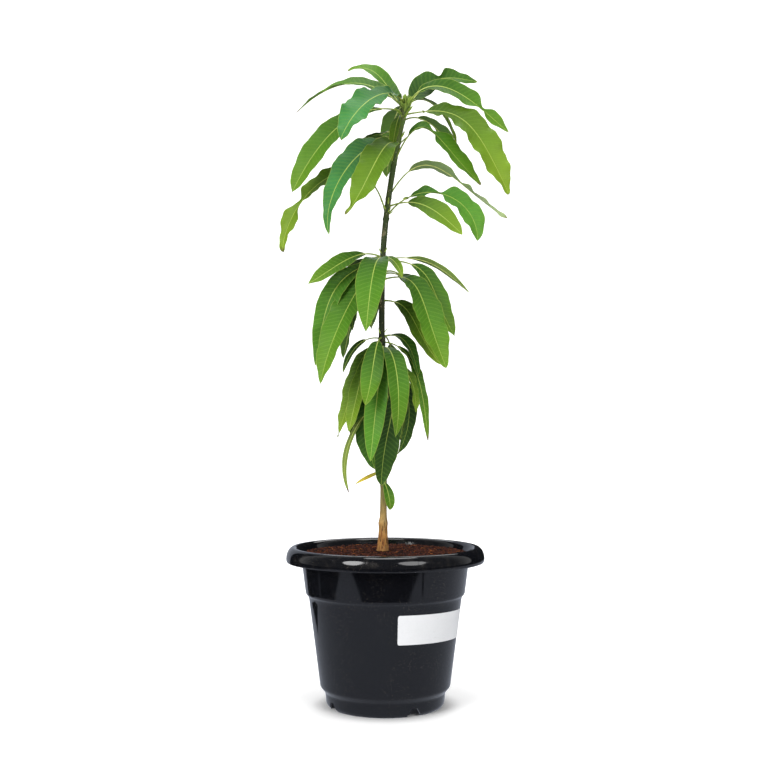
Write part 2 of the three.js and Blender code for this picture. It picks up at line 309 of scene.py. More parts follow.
# %% The rows of leaves
MASSES = {
    "upper_left": [
        ("fresh", 741, 172, 80, 140, (-160, 15, 690), -85, 105, 60, 36, -45, -20, 0.56, 2.2, 0.5, 0.6),
        ("blue", 846, 215, 36, 58, (-83, -60, 700), -108, 70, 28, 46, -40, 0, 0.25, 1.2, 0.2),
        ("fresh", 852, 256, 5, 90, (-60, -80, 730), -35, 50, 20, 48, -15, 0, 0.4, 1.4, 0.6, 0.9),
        ("fresh", 893, 250, 55, 26, (10, -26, 822), -85, 40, 10, 20, 8, 0, 0.38, 0.8, 0),
    ],
    "upper_right": [
        ("mid", 825, -25, 65, 115, (145, -30, 785), -45, 100, 42, 38, 45, 10, 0.5, 1.0, 0.6, 0.3),
        ("grey", 773, 10, 60, 125, (190, 15, 742), -30, 100, 50, 24, -70, 125, 0.5, 1.6, 0.5, 0.5),
        ("bright", 741, -15, 55, 80, (140, -25, 700), -90, 75, 38, 42, 45, 20, 0.66, 1.8, 0, 0.36),
        ("fresh", 757, -30, 15, 55, (115, -50, 705), -45, 60, 36, 38, 50, 0, 0.46, 0.8, 0),
    ],
    "top_left": [
        ("mid", 908, 178, 48, 85, (-142, 15, 905), -45, 80, 28, 30, -60, 50, 0.36, 0.8, 1, 0.64),
        ("blue", 914, 222, 55, 45, (-65, -100, 835), -65, 75, 14, 50, -30, 0, 0.52, 2.0, 0),
        ("mid", 905, 185, 15, 90, (-142, -20, 775), -65, 75, 35, 46, -60, 0, 0.6, 0.7, 0),
    ],
    "top_right": [
        ("deep", 910, 30, 50, 60, (145, 35, 963), -8, 75, 18, 42, 50, 5, 0.36, 1.0, 0, 0.5),
        ("mid", 912, -8, 60, 90, (190, -15, 868), -40, 55, 30, 36, 62, 0, 0.5, 0.8, 0.3, 0.66),
        ("fresh", 900, -15, 8, 92, (186, -40, 768), -66, 130, 30, 55, 50, 0, 0.54, 1.3, 0),
        ("fresh", 908, 10, 60, 50, (112, 35, 862), -75, 55, 25, 26, 50, 0, 0.6, 0.8, 0),
    ],
    "middle_left": [
        ("mid", 678, 205, 25, 45, (-115, -55, 630), -30, 50, 30, 31, -45, 0, 0.48, 0.8, 0.1),
        ("mid", 660, 228, 95, 42, (-95, -75, 480), -78, 100, 30, 49, -30, 0, 0.46, 0.8, 0.1),
        ("shade", 674, 205, -15, 95, (-105, -35, 510), -80, 95, 25, 34, -55, 0, 0.46, 0.9, 0),
        ("dark", 680, 190, -5, 70, (-50, -5, 565), -90, 65, 25, 36, -40, 0, 0.5, 0.8, 0),
    ],
    "middle_front": [
        ("mid", 678, 261, -5, 70, (-28, -95, 555), -72, 95, 25, 47, 0, 0, 0.4, 0.7, 0),
        ("fresh", 678, 300, 10, 20, (25, -45, 640), -80, 20, 10, 16, 20, 0, 0.43, 0.6, 0),
    ],
    "middle_right": [
        ("olive", 678, 5, 0, 45, (130, 10, 625), -45, 90, 35, 15, -32, 0, 0.45, 0.6, 0.4),
        ("mid", 674, -10, 0, 85, (105, -20, 555), -60, 85, 42, 38, 45, 0, 0.52, 0.8, 0),
        ("mid", 644, -35, 10, 80, (90, -60, 505), -65, 115, 30, 50, 30, 0, 0.52, 1.1, 0),
        ("fresh", 612, -20, 0, 55, (84, -20, 512), -50, 75, 20, 34, 48, 0, 0.45, 1.0, 0),
    ],
    "lower_left": [
        ("dark", 553, 185, 15, 30, (-65, -5, 500), -75, 35, 25, 14, -45, 0, 0.4, 0.8, 0.8),
        ("fresh", 551, 200, -18, 38, (-72, -15, 403), -72, 95, 22, 29, -45, 20, 0.42, 1.5, 0.2),
        ("fresh", 546, 218, 25, 30, (-55, -30, 410), -75, 55, 25, 27, -30, 0, 0.55, 1.2, 0),
        ("deep", 520, 200, 40, 42, (-16, -2, 354), -108, 65, 25, 42, -45, 0, 0.6, 0.8, 0),
        ("olive", 466, 190, -40, 10, (-55, -5, 317), -110, 85, 32, 10, -55, 0, 0.5, 0.5, 1),
    ],
    "lower_front": [
        ("mid", 554, 258, 0, 55, (-30, -70, 450), -45, 55, 25, 34, -10, 0, 0.48, 0.7, 0),
        ("shade", 530, 280, 50, 60, (-22, -60, 367), -72, 95, 25, 35, 0, 0, 0.5, 0.8, 0),
    ],
    "lower_right": [
        ("mid", 537, 285, 10, 75, (15, -60, 403), -120, 70, 25, 34, 0, 0, 0.42, 0.7, 0),
        ("deep", 556, 5, 20, 35, (50, -10, 495), -80, 45, 14, 26, 30, 0, 0.4, 1.2, 0),
        ("mid", 548, -5, 0, 55, (65, -10, 395), -85, 70, 25, 17, 30, 60, 0.4, 2.4, 0.9),
        ("fresh", 530, -20, -30, 50, (46, -20, 440), -90, 50, 24, 20, 20, 0, 0.5, 2.0, 0),
        ("dark", 500, 320, 0, 60, (-6, -29, 330), -92, 90, 25, 44, 8, 0, 0.6, 0.9, 0.2),
        ("dark", 515, 5, -20, 44, (18, 9, 375), -122, 70, 20, 28, 58, 0, 0.5, 1.0, 0),
    ],
    "top_back": [
        ("mid", 909, 125, 38, 65, (-60, 45, 985), -10, 60, 22, 31, -12, 0, 0.42, 0.8, 0.3),
        ("dark", 858, 158, 50, 30, (-40, 34, 800), -90, 40, 12, 32, -40, 0, 0.45, 0.8, 0),
        ("mid", 914, 105, 110, 55, 38), ("deep", 866, 128, 120, 50, 40), ("mid", 858, 145, 110, 45, 36),
        ("deep", 890, 28, 95, 50, 36), ("mid", 862, 104, 76, 42, 26),
    ],
    "middle_back": [
        ("mid", 652, 38, 95, 80, 36), ("deep", 676, 102, 88, 100, 34), ("mid", 670, 128, 95, 100, 42),
        ("dark", 655, 20, 85, 120, 34), ("deep", 640, 150, 70, 115, 34),
    ],
    "lower_back": [
        ("mid", 556, 60, 60, 120, 32), ("deep", 552, 90, 65, 130, 34), ("mid", 546, 135, 60, 125, 32),
        ("dark", 520, 70, 42, 140, 32), ("deep", 505, 115, 38, 130, 30), ("dark", 530, 160, 50, 130, 28),
        ("deep", 515, 40, 40, 120, 28),
    ],
    "base": [
        ("yellow", 352, 200, -20, 12, (-46, -22, 331), -38, 12, 6, 6, -60, 0, 0.4, 0.3, 0),
        ("mid", 332, 268, 30, 20, (7, -20, 293), -100, 20, 8, 18, 0, 0, 0.6, 0.5, 0),
    ],
}


def linear(red, green, blue):
    """A colour picked on a screen, 0 to 255, as the linear values that shaders use."""
    return (*(((c / 255 + 0.055) / 1.055) ** 2.4 for c in (red, green, blue)), 1.0)


TONES = {
    "fresh": linear(72, 114, 14), "mid": linear(52, 112, 12), "deep": linear(42, 92, 16),
    "blue": linear(45, 117, 55), "olive": linear(118, 134, 62), "yellow": linear(224, 182, 50),
    "dark": linear(26, 66, 18), "grey": linear(166, 184, 138), "bright": linear(72, 140, 44),
    "shade": linear(70, 128, 24),
}
print("leaves in rows:", sum(map(len, MASSES.values())), "tones:", len(TONES))

# %% [markdown]
# ## From a row to a leaf
# A full row only needs its numbers named. For a leaf round the back, where no one leaf matters,
# a rule picks the rest. It has to pick what it picked for the solids, or blades and solids would
# part, so it is a small seeded generator of its own, always asked in the same order.

# %% Read the rows
NAMES = "tone at bearing rise spring tip plunge hang stalk width roll twist belly wave dry pinch".split()
BACK_NAMES = "tone at bearing reach drop width".split()
AROUND = {"rise": (20, 45), "plunge": (-86, -70), "stalk": (24, 34), "roll": (-20, 20), "twist": (-15, 15)}
NO_PINCH = -1.0
BACK_BLADE = {"belly": 0.48, "wave": 1.0, "dry": 0.0, "pinch": NO_PINCH}
BOW = 0.55


def seeded(seed):
    """The same small random generator as the solids use, so that the back leaves fall alike."""
    state = [seed]

    def pick(low, high):
        """The next number between two limits."""
        state[0] = (state[0] * 1664525 + 1013904223) % 2 ** 32
        return low + (high - low) * state[0] / 2 ** 32

    return pick


pick = seeded(11)


def leaf_from(row):
    """One leaf's sizes by name. A short row is a leaf round the back."""
    if len(row) > len(BACK_NAMES):
        return {"pinch": NO_PINCH, **dict(zip(NAMES, row))}
    tone, at, bearing, reach, drop, width = row
    tip = stem_point(float(at)) + reach * heading(bearing) - (0, 0, drop)
    picked = {name: pick(*limits) for name, limits in AROUND.items()}
    return dict(BACK_BLADE, **picked, tone=tone, at=at, bearing=bearing, spring=reach * BOW, tip=tip,
                hang=drop * BOW, width=width)


LEAVES = {name: [leaf_from(row) for row in rows] for name, rows in MASSES.items()}
print("leaves:", {name: len(leaves) for name, leaves in LEAVES.items()})

# %% [markdown]
# ## One leaf's midrib
# A mango blade is stiff but heavy, so its midrib is a smooth arch: it keeps the stalk's direction
# at first and ends in the plunge of the tip. A cubic curve with two handles gives just that. The
# blade's cross direction is carried along the curve without turning, then rolled and twisted, so
# that a leaf can show its face, its edge or its paler back.

# %% Midribs as even samples
CURVE_SAMPLES, RIB_SAMPLES = 2000, 240


def unit(vectors):
    """The same directions with a length of one."""
    return vectors / np.linalg.norm(vectors, axis=-1, keepdims=True)


def arch(start, leaving, arriving, tip):
    """Points on a cubic curve from start to tip, with a handle for either end."""
    t = np.linspace(0, 1, CURVE_SAMPLES + 1)[:, None]
    outward = (1 - t) ** 3 * start + 3 * (1 - t) ** 2 * t * leaving
    return outward + 3 * (1 - t) * t ** 2 * arriving + t ** 3 * tip


def rib_of(leaf):
    """Distances along the midrib in mm, with the places, directions and cross directions there."""
    start, tip = stem_point(float(leaf["at"])), np.array(leaf["tip"], float)
    away = math.degrees(math.atan2(tip[1] - start[1], tip[0] - start[0]))
    leaving = start + leaf["spring"] * heading(leaf["bearing"], leaf["rise"])
    curve = arch(start, leaving, tip - leaf["hang"] * heading(away, leaf["plunge"]), tip)
    run = np.concatenate([[0], np.cumsum(np.linalg.norm(np.diff(curve, axis=0), axis=1))])
    even = np.linspace(0, run[-1], RIB_SAMPLES + 1)
    places = np.stack([np.interp(even, run, curve[:, axis]) for axis in range(3)], 1)
    along = unit(np.gradient(places, axis=0))
    across = np.empty_like(along)
    carried = heading(leaf["bearing"] + 90)
    for i, direction in enumerate(along):
        carried = unit(carried - direction * np.dot(carried, direction))
        across[i] = carried
    return even, places, along, across


def sampled(distances, even, values):
    """Values at any distances along the midrib, from those at the even ones."""
    return np.stack([np.interp(distances, even, values[:, axis]) for axis in range(3)], 1)


def frames_of(leaf, rib, distances):
    """Places on the midrib with the rolled and twisted side and up directions of the blade."""
    even, places, along, across = rib
    point, ahead = sampled(distances, even, places), unit(sampled(distances, even, along))
    level = unit(sampled(distances, even, across))
    share = np.clip((distances - leaf["stalk"]) / (even[-1] - leaf["stalk"]), 0, 1)
    turn = np.radians(leaf["roll"] + leaf["twist"] * share)[:, None]
    side = unit(level * np.cos(turn) + np.cross(ahead, level) * np.sin(turn))
    return point, side, unit(np.cross(ahead, side)), share


ribs = {name: [rib_of(leaf) for leaf in leaves] for name, leaves in LEAVES.items()}
lengths = [rib[0][-1] - leaf["stalk"] for name in LEAVES for rib, leaf in zip(ribs[name], LEAVES[name])]
print("blades from", round(min(lengths)), "to", round(max(lengths)), "mm long")

# %% [markdown]
# ## Sweeping a ring along lines
# Blades, stalks, bud scales and the stem are all one idea: a ring of corners that travels along a
# line. Python writes the lines, with all that is known at each point as attributes. Mesh to Curve
# and Curve to Mesh carry a ring along them, and Set Position then puts every corner where a
# formula says. This leaves the whole shape to the formula, which a bevelled curve can't do.

# %% Helpers for swept pieces
def field(tree, name, kind="FLOAT"):
    """What an attribute holds, as a wire in a geometry tree."""
    return add(tree, "GeometryNodeInputNamedAttribute", {"Name": name}, data_type=kind)


def vector_field(tree, name):
    """The same for an attribute that holds vectors."""
    return field(tree, name, "FLOAT_VECTOR")


def keep(geometry, name, value, kind="FLOAT", domain="POINT"):
    """Stores a value on the geometry as a named attribute."""
    inputs = {"Geometry": geometry, "Name": name, "Value": value}
    return add(geometry.tree, "GeometryNodeStoreNamedAttribute", inputs, data_type=kind, domain=domain)


def joined(tree, x, y, z=0.0):
    """A vector from its three parts."""
    return add(tree, "ShaderNodeCombineXYZ", {"X": x, "Y": y, "Z": z})


def swept(tree, lines, sides):
    """A ring of corners at every point of the lines. `turn` is each corner's angle in the ring."""
    ring = add(tree, "GeometryNodeCurvePrimitiveCircle", {"Resolution": sides})
    index = add(tree, "GeometryNodeInputIndex")
    ring = keep(ring, "turn", index * (2 * math.pi) / sides)
    curve = add(tree, "GeometryNodeMeshToCurve", {"Mesh": lines})
    return add(tree, "GeometryNodeCurveToMesh", {"Curve": curve, "Profile Curve": ring})


def finished(geometry, material, leave, merge=2e-6):
    """Closes the ends, smooths the shading, makes the result one mesh and gives it its material."""
    tree = geometry.tree
    geometry = add(tree, "GeometryNodeMergeByDistance", {"Geometry": geometry, "Distance": merge})
    geometry = add(tree, "GeometryNodeSetShadeSmooth", {"Geometry": geometry})
    geometry = add(tree, "GeometryNodeRealizeInstances", {"Geometry": geometry})
    geometry = add(tree, "GeometryNodeSetMaterial", {"Geometry": geometry, "Material": material})
    feed(tree, leave.inputs[0], geometry)


print("swept pieces need lines with the attributes rib, side and up")

# %% [markdown]
# ## The blade's node tree
# On a real leaf the two halves of the blade rise from the midrib like an open book, the margin
# ripples because it grows a little faster than the middle, and the blade is thinnest at its edge.
# The tree sweeps a flat ring along each midrib: `v` runs across from one edge to the other and
# `s` from the lower face to the upper. Every corner is then placed by formula. Where a blade is
# pinched, `crease` adds to the fold. Both ends shrink to a point and are merged, so each blade is
# closed.

# %% Node tree: leaf blade
LONG_LAG, SHORT_LAG, SHORT_SHARE = 1.3, 2.1, 0.4
THINNER_BELOW = 0.004
MAP_MARGIN = 0.02

blade_tree, given, leave = new_tree("Leaf blade", "GeometryNodeTree", {
    "Lines": ("Geometry", None), "Sides": ("Int", 40), "Thickness": ("Float", 0.0007),
    "Fold": ("Float", math.radians(18)), "Rounding": ("Float", 0.0015),
    "Long wave": ("Float", 0.046), "Short wave": ("Float", 0.019),
    "Cell": ("Vector", (1, 1, 0)), "Material": ("Material", None),
}, {"Blades": "Geometry"})
surface = swept(blade_tree, given("Lines"), given("Sides"))
turn, half, share, along, phase = (
    field(blade_tree, name) for name in ("turn", "half", "share", "along", "phase"))
v, s = turn.maths("COSINE"), turn.maths("SINE")
x = half * v
bent = (x * x + given("Rounding") ** 2).maths("SQRT") - given("Rounding")
fold = given("Fold") + field(blade_tree, "crease")
edge_side = v.maths("SIGN")
long_angle = along * (2 * math.pi) / given("Long wave") + phase + edge_side * LONG_LAG
short_angle = along * (2 * math.pi) / given("Short wave") + phase * 2.0 - edge_side * SHORT_LAG
ripple = long_angle.maths("SINE") * v * v + short_angle.maths("SINE") * v ** 4 * SHORT_SHARE
thickness = s * given("Thickness") * 0.5 * (half / THINNER_BELOW).maths("MINIMUM", 1.0)
height = bent * fold.maths("SINE") + ripple * field(blade_tree, "ripple") + thickness
sideways = vector_field(blade_tree, "side").times(x * fold.maths("COSINE"))
upward = vector_field(blade_tree, "up").times(height)
place = vector_field(blade_tree, "rib").plus(sideways).plus(upward)
surface = keep(surface, "leaf_spot", joined(blade_tree, along, x, half), "FLOAT_VECTOR")
surface = keep(surface, "leaf_face", s)

face_side = add(blade_tree, "GeometryNodeFieldOnDomain", {"Value": s}, data_type="FLOAT", domain="FACE")
row = (turn / math.pi - 1.0).maths("ABSOLUTE")
band = face_side.maths("LESS_THAN", 0.0) * 0.5
cell, corner = parts_of(given("Cell")), parts_of(vector_field(blade_tree, "cell"))
map_u = corner + cell * (share * (1 - 2 * MAP_MARGIN) + MAP_MARGIN)
map_v = corner.also("Y") + cell.also("Y") * (row * (0.5 - 2 * MAP_MARGIN) + MAP_MARGIN + band)
surface = keep(surface, "OFBake", joined(blade_tree, map_u, map_v), "FLOAT2", "CORNER")
surface = add(blade_tree, "GeometryNodeSetPosition", {"Geometry": surface, "Position": place})
finished(surface, given("Material"), leave)
print("leaf blade tree:", len(blade_tree.nodes), "nodes")

# %% [markdown]
# ## Materials from a few shared effects
# Nothing in a nursery is one even colour: leaves are mottled, bark is flecked and black plastic
# gathers dust. One small group, "Mottle", turns a place into a soft uneven factor and is used by
# most materials below. A material reads object coordinates or attributes of its own piece, so
# the pattern stays put when the plant is moved.

# %% Helpers for materials
def input_name(label):
    """The name of a shader's input: base_color becomes Base Color."""
    return label.replace("_", " ").title().replace("Ior", "IOR")


def new_material(name, **values):
    """A material, its shader with the given plain values, and the place on the piece as a wire."""
    material = bpy.data.materials.new(name)
    material.use_nodes = True
    shader = material.node_tree.nodes["Principled BSDF"]
    for label, value in values.items():
        shader.inputs[input_name(label)].default_value = value
    return material, shader, add(material.node_tree, "ShaderNodeTexCoord", out="Object")


def finish(shader, **patterns):
    """Links patterns to the shader's inputs, as in finish(shader, base_color=tone)."""
    for label, wire in patterns.items():
        feed(wire.tree, shader.inputs[input_name(label)], wire)


def shown(place, name, out="Fac"):
    """What an attribute of the piece holds at a place."""
    return add(place.tree, "ShaderNodeAttribute", attribute_name=name, out=out)


def blend(factor, low, high):
    """Mixes two colours by a mask."""
    return add(factor.tree, "ShaderNodeMix", {0: factor, 6: low, 7: high}, data_type="RGBA", out=2)


def shaded(colour, level):
    """A colour made darker or lighter by a level that changes over the surface."""
    return add(level.tree, "ShaderNodeHueSaturation", {"Value": level, "Color": colour})


def stretched(place, x, y, z):
    """A place scaled along each axis. A scale below one draws a pattern out that way."""
    return add(place.tree, "ShaderNodeVectorMath", {0: place, 1: (x, y, z)}, operation="MULTIPLY")


def noise(place, scale, detail=3.0, roughness=0.5):
    """A cloudy value around a half. Detail and roughness add finer clouds to it."""
    inputs = {"Vector": place, "Scale": scale, "Detail": detail, "Roughness": roughness}
    return add(place.tree, "ShaderNodeTexNoise", inputs)


def cells(place, scale, feature="F1"):
    """Distances in a pattern of cells: from a cell's middle, or from its edge."""
    return add(place.tree, "ShaderNodeTexVoronoi", {"Vector": place, "Scale": scale}, feature=feature)


def bump(height, strength, distance):
    """Normals that tilt as if the surface had this height."""
    inputs = {"Strength": strength, "Distance": distance, "Height": height}
    return add(height.tree, "ShaderNodeBump", inputs)


mottle_group, given, leave = new_tree("Mottle", "ShaderNodeTree", {
    "Place": ("Vector", None), "Broad": ("Float", 30.0), "Fine": ("Float", 250.0), "Amount": ("Float", 0.2),
}, {"Factor": "Float"})
broad = noise(given("Place"), given("Broad")) - 0.5
fine = noise(given("Place"), given("Fine"), 4.0) - 0.5
feed(mottle_group, leave.inputs[0], (broad * 1.4 + fine) * given("Amount") * 2.0 + 1.0)


def mottle(place, broad, fine, amount):
    """The group in a material: an uneven factor around one."""
    inputs = {"Place": place, "Broad": broad, "Fine": fine, "Amount": amount}
    return add(place.tree, "ShaderNodeGroup", inputs, node_tree=mottle_group)


print("shared effects:", mottle_group.name)

# %% [markdown]
# ## Leaf surface
# A mango leaf has a pale yellow-green midrib, side veins about 7 mm apart that leave it at about
# 60 degrees and curve forward, a pale thin margin and a fine net between the veins. An image could
# hold all this, but it would blur close up and look the same on every leaf. Here the lines follow
# the blade's own distances, `leaf_spot`: along the midrib, across from it, and half the width
# there. Each line becomes a mask, one on the line and nought beside it.

# %% Veins, midrib and margin as masks
VEIN_SPACING, VEIN_SLANT, VEIN_CURVE = 0.0068, 0.45, 6.4
RIB_WIDTH, RIB_NARROWING = 0.0011, 0.75
MARGIN_OUTER, MARGIN_INNER = 0.0003, 0.0009

leaf_material, shader, place = new_material("mango leaf", specular_ior_level=0.25)
along = parts_of(shown(place, "leaf_spot", "Vector"))
across, half = along.also("Y"), along.also("Z")
share = shown(place, "share")
distance = across.maths("ABSOLUTE")
edge = distance / (half + 0.00001)
rib = fade(distance / ((share * -RIB_NARROWING + 1.0) * RIB_WIDTH), 0.55, 1.0, 1.0, 0.0)
wobble = noise(place, 60.0) * 0.5 + across.maths("SIGN") * 0.2
vein_start = along - distance * VEIN_SLANT - distance * distance * VEIN_CURVE
vein_near = ((vein_start / VEIN_SPACING + wobble).maths("FRACT") - 0.5).maths("ABSOLUTE")
inside = fade(edge, 0.78, 0.97, 1.0, 0.0)
vein = fade(vein_near, 0.42, 0.49) * inside * shown(place, "leaf_veins")
between = fade(vein_near, 0.07, 0.0) * inside * 0.45
margin = fade(half - distance, MARGIN_INNER, MARGIN_OUTER)
net = fade(cells(place, 650.0, "DISTANCE_TO_EDGE"), 0.0, 0.12)
upper = fade(shown(place, "leaf_face"), -0.02, 0.02)
print("veins", VEIN_SPACING, "m apart")

# %% [markdown]
# ## Leaf colours
# The upper face is leathery with a soft shine, the lower face paler and dull. Young leaves are
# yellow-green, old ones dark, and tips often yellow or dry. Each colour is laid over the last one
# by its mask, like glazes, so the order matters: first the leaf's own green, mottled and darkened
# towards the stalk as painted shade, then the glow of its tip, net and veins, the pale back, margin
# and midrib, and last flecks and a dry tip.

# %% Material: mango leaf
# painted shade: each blade is darker towards its stalk, laid over a real mottle
mottle_and_base_shade = mottle(place, 28.0, 190.0, 0.16) * fade(share, 0.0, 0.75, 0.46, 1.06)
tone = shaded(shown(place, "leaf_colour", "Color"), mottle_and_base_shade)
tone = blend(fade(vein_near, 0.1, 0.5) * 0.12, tone, linear(120, 164, 50))
tip_glow = share ** 1.6 * shown(place, "leaf_glow") * (noise(place, 22.0) * 0.8 + 0.6)
tone = blend(tip_glow.maths("MINIMUM", 0.85), tone, linear(130, 158, 34))
tone = blend((net - 1.0).maths("ABSOLUTE") * 0.1, tone, linear(130, 172, 60))
paler = add(place.tree, "ShaderNodeHueSaturation", {"Value": 1.5, "Saturation": 0.94, "Color": tone})
tone = blend((vein + between).maths("MINIMUM", 1.0) * 0.55, tone, paler)
tone = blend(fade(upper, 0.0, 1.0, 0.5, 0.0), tone, linear(104, 136, 70))
tone = blend(margin * 0.6, tone, linear(168, 186, 80))
tone = blend(rib * 0.8, tone, linear(186, 206, 96))
dryness = shown(place, "leaf_dry")
dry = noise(place, 45.0, 4.0, 0.6) * 0.1 + share + dryness * 0.05
brown = fade(dry, 1.02, 1.06) * dryness.maths("MINIMUM", 1.0)
fleck = fade(noise(place, 150.0, 5.0, 0.6), 0.72, 0.77) * 0.6
tone = blend(fleck, tone, linear(100, 96, 40))
tone = blend(brown, tone, linear(104, 82, 62))
shine = noise(place, 90.0) * 0.14 + 0.4
relief = rib * 0.7 - vein * 0.5 - between * 0.2 + net * 0.16 + noise(place, 420.0) * 0.1
finish(shader, base_color=tone, roughness=shine + fade(upper, 0.0, 1.0, 0.24, 0.0) + brown * 0.3,
       normal=bump(relief, 0.55, 0.0006))
print("leaf material:", len(place.tree.nodes), "nodes")

# %% [markdown]
# ## Lines that carry what is known
# A node tree can't look up a row, so every point of a line carries all that its leaf knows there:
# the place, the two cross directions, half the width, the shade and so on. Those that only the
# tree needs are removed afterwards. Those that the material reads stay.

# %% Lines as meshes
HELPER_ATTRIBUTES = "rib side up half along ripple phase cell turn thick rough crease".split()


def spread(value, count):
    """A value for each point: as it is when there is one for each, or else the same for all."""
    value = np.asarray(value, float)
    if value.ndim and len(value) == count:
        return value
    return np.tile(value, (count,) + (1,) * value.ndim)


def lines_mesh(name, lines):
    """Lines of points as one mesh, with everything known of the points as attributes, in metres."""
    sizes = [len(line["rib"]) for line in lines]
    ends = np.cumsum(sizes)
    edges = [(i, i + 1) for end, size in zip(ends, sizes) for i in range(end - size, end - 1)]
    values = {label: np.concatenate([spread(line[label], size) for line, size in zip(lines, sizes)])
              for label in lines[0]}
    return base_mesh(name, values["rib"], edges, **values)


def drop_helpers(piece):
    """Removes the attributes that only the node trees needed."""
    for name in [layer.name for layer in piece.data.attributes if layer.name in HELPER_ATTRIBUTES]:
        piece.data.attributes.remove(piece.data.attributes[name])


print("attributes for the trees alone:", len(HELPER_ATTRIBUTES))

# %% [markdown]
# ## The blades
# Each mass of the part becomes its own leaves: the same rows, the same rule, at full fineness. The
# outline is widest a little below the middle and runs out to a long tip. Every blade gets its own
# shade, ripple and phase from a second seeded rule, so no two match, and a cell of its own in the
# piece's texture map.

# %% Grow the blades
BLADE_STEPS = 112
PINCH_FOLD, PINCH_NARROWING, PINCH_LENGTH = math.radians(34), 0.72, 0.07
TIP_SHARPNESS, SHARP_FROM_BELLY, TIP_LENGTH = 1.6, 0.35, 0.07
FULLNESS = 1.03  # gives back the width that a sharper tip takes
USUAL_WIDTH = 26
YOUNG_ABOVE, YOUNG_VEINS = 700, 0.2
GLOW = {"fresh": 0.8, "mid": 0.42, "bright": 0.25, "olive": 0.3}
GLOW_OF_OTHERS = 0.08
tint = seeded(29)


def outline(u, belly, taper=1.38):
    """Half the blade's width as a share of the widest, which lies at belly."""
    return (u / belly) ** (taper * belly) * ((1 - u) / (1 - belly)) ** (taper * (1 - belly))


def blade_line(leaf, rib, cell):
    """A blade's midrib, with the size, shade and ripple of the blade at each point."""
    u = np.linspace(0, 1, BLADE_STEPS + 1)
    length = rib[0][-1] - leaf["stalk"]
    point, side, up, _ = frames_of(leaf, rib, leaf["stalk"] + length * u)
    shade = tint(0.9, 1.1)
    pinched = np.exp(-(((u - leaf["pinch"]) / PINCH_LENGTH) ** 2))
    half = leaf["width"] / 2 * outline(u, leaf["belly"]) * (1 - PINCH_NARROWING * pinched)
    sharpness = TIP_SHARPNESS * max(leaf["belly"] - SHARP_FROM_BELLY, 0)
    half = half * ((1 - u) / (1 - u + TIP_LENGTH)) ** sharpness * FULLNESS
    return {
        "rib": point * MM, "side": side, "up": up, "half": half * MM, "along": length * u * MM,
        "share": u, "ripple": leaf["wave"] * leaf["width"] / USUAL_WIDTH * MM, "phase": tint(0, 6.28),
        "leaf_colour": np.array(TONES[leaf["tone"]][:3]) * shade,
        "leaf_glow": GLOW.get(leaf["tone"], GLOW_OF_OTHERS) * tint(0.8, 1.2), "leaf_dry": leaf["dry"],
        "leaf_veins": YOUNG_VEINS if leaf["at"] > YOUNG_ABOVE else 1.0,
        "cell": cell, "crease": pinched * PINCH_FOLD,
    }


total = 0
for name, leaves in LEAVES.items():
    columns = 2 if len(leaves) > 2 else 1
    rows = math.ceil(len(leaves) / columns)
    corners = [(k % columns / columns, k // columns / rows, 0) for k in range(len(leaves))]
    lines = [blade_line(leaf, rib, corner) for leaf, rib, corner in zip(leaves, ribs[name], corners)]
    piece = grown("blades_" + name, lines_mesh("lines", lines), blade_tree,
                  cell=(1 / columns, 1 / rows, 0.0), material=leaf_material)
    drop_helpers(piece)
    settle(piece, "leaf", "leaves_" + name)
    total += len(piece.data.polygons)
print("blades:", sum(map(len, LEAVES.values())), "faces:", total)

# %% [markdown]
# ## A rod along a line
# Stalks and the stem are round rods that taper. The tree is general: any line with a radius at
# every point becomes a rod. Noise drawn out along the rod roughens it as much as the line asks,
# which is next to nothing for a stalk and a good deal for corky bark.

# %% Node tree: rod
GRAIN_STRETCH = 0.25

rod_tree, given, leave = new_tree("Rod", "GeometryNodeTree", {
    "Lines": ("Geometry", None), "Sides": ("Int", 10), "Grain": ("Float", 300.0),
    "Material": ("Material", None),
}, {"Rods": "Geometry"})
surface = swept(rod_tree, given("Lines"), given("Sides"))
turn, radius = field(rod_tree, "turn"), field(rod_tree, "thick")
outward = vector_field(rod_tree, "side").times(turn.maths("COSINE"))
outward = outward.plus(vector_field(rod_tree, "up").times(turn.maths("SINE")))
centre = vector_field(rod_tree, "rib")
grain_at = stretched(centre.plus(outward.times(radius)), 1.0, 1.0, GRAIN_STRETCH)
grain = (noise(grain_at, given("Grain"), 4.0, 0.6) - 0.5) * 2.0
radius = radius + grain * field(rod_tree, "rough") * (radius / MM).maths("MINIMUM", 1.0)
place = centre.plus(outward.times(radius))
surface = add(rod_tree, "GeometryNodeSetPosition", {"Geometry": surface, "Position": place})
finished(surface, given("Material"), leave)
print("rod tree:", len(rod_tree.nodes), "nodes")

# %% [markdown]
# ## Stalks and midribs
# A mango leaf's stalk is slim and wiry, a little swollen where it meets the stem, and goes on as
# the midrib, which stands out below the blade and fades towards the tip. A painted midrib would
# look flat from the side, so stalk and midrib are one tapering rod along the blade's own line.

# %% Grow the stalks
STALK_RADIUS, STALK_SWELLING, SWELLING_LENGTH = 1.2, 0.75, 7
STALK_TAPER, TAPER_FROM = 0.25, 0.6
RIB_RADIUS, RIB_TAPER, RIB_BELOW, RIB_END = 1.0, 0.82, 0.42, 0.975
STALK_STEPS, RIB_STEPS = 24, 55
SLIMMEST = 0.45
STALK_ROUGHNESS = 0.00003

stalk_material, shader, place = new_material("leaf stalk", roughness=0.45)
part = shown(place, "leaf_part")
tone = blend(fade(part, -1.0, -0.7), linear(112, 98, 58), linear(138, 158, 66))
tone = blend(fade(part, -0.2, 0.15), tone, linear(204, 212, 124))
finish(shader, base_color=shaded(tone, mottle(place, 90.0, 700.0, 0.2)),
       normal=bump(noise(place, 900.0, 4.0), 0.35, 0.0004), roughness=noise(place, 300.0) * 0.2 + 0.36)


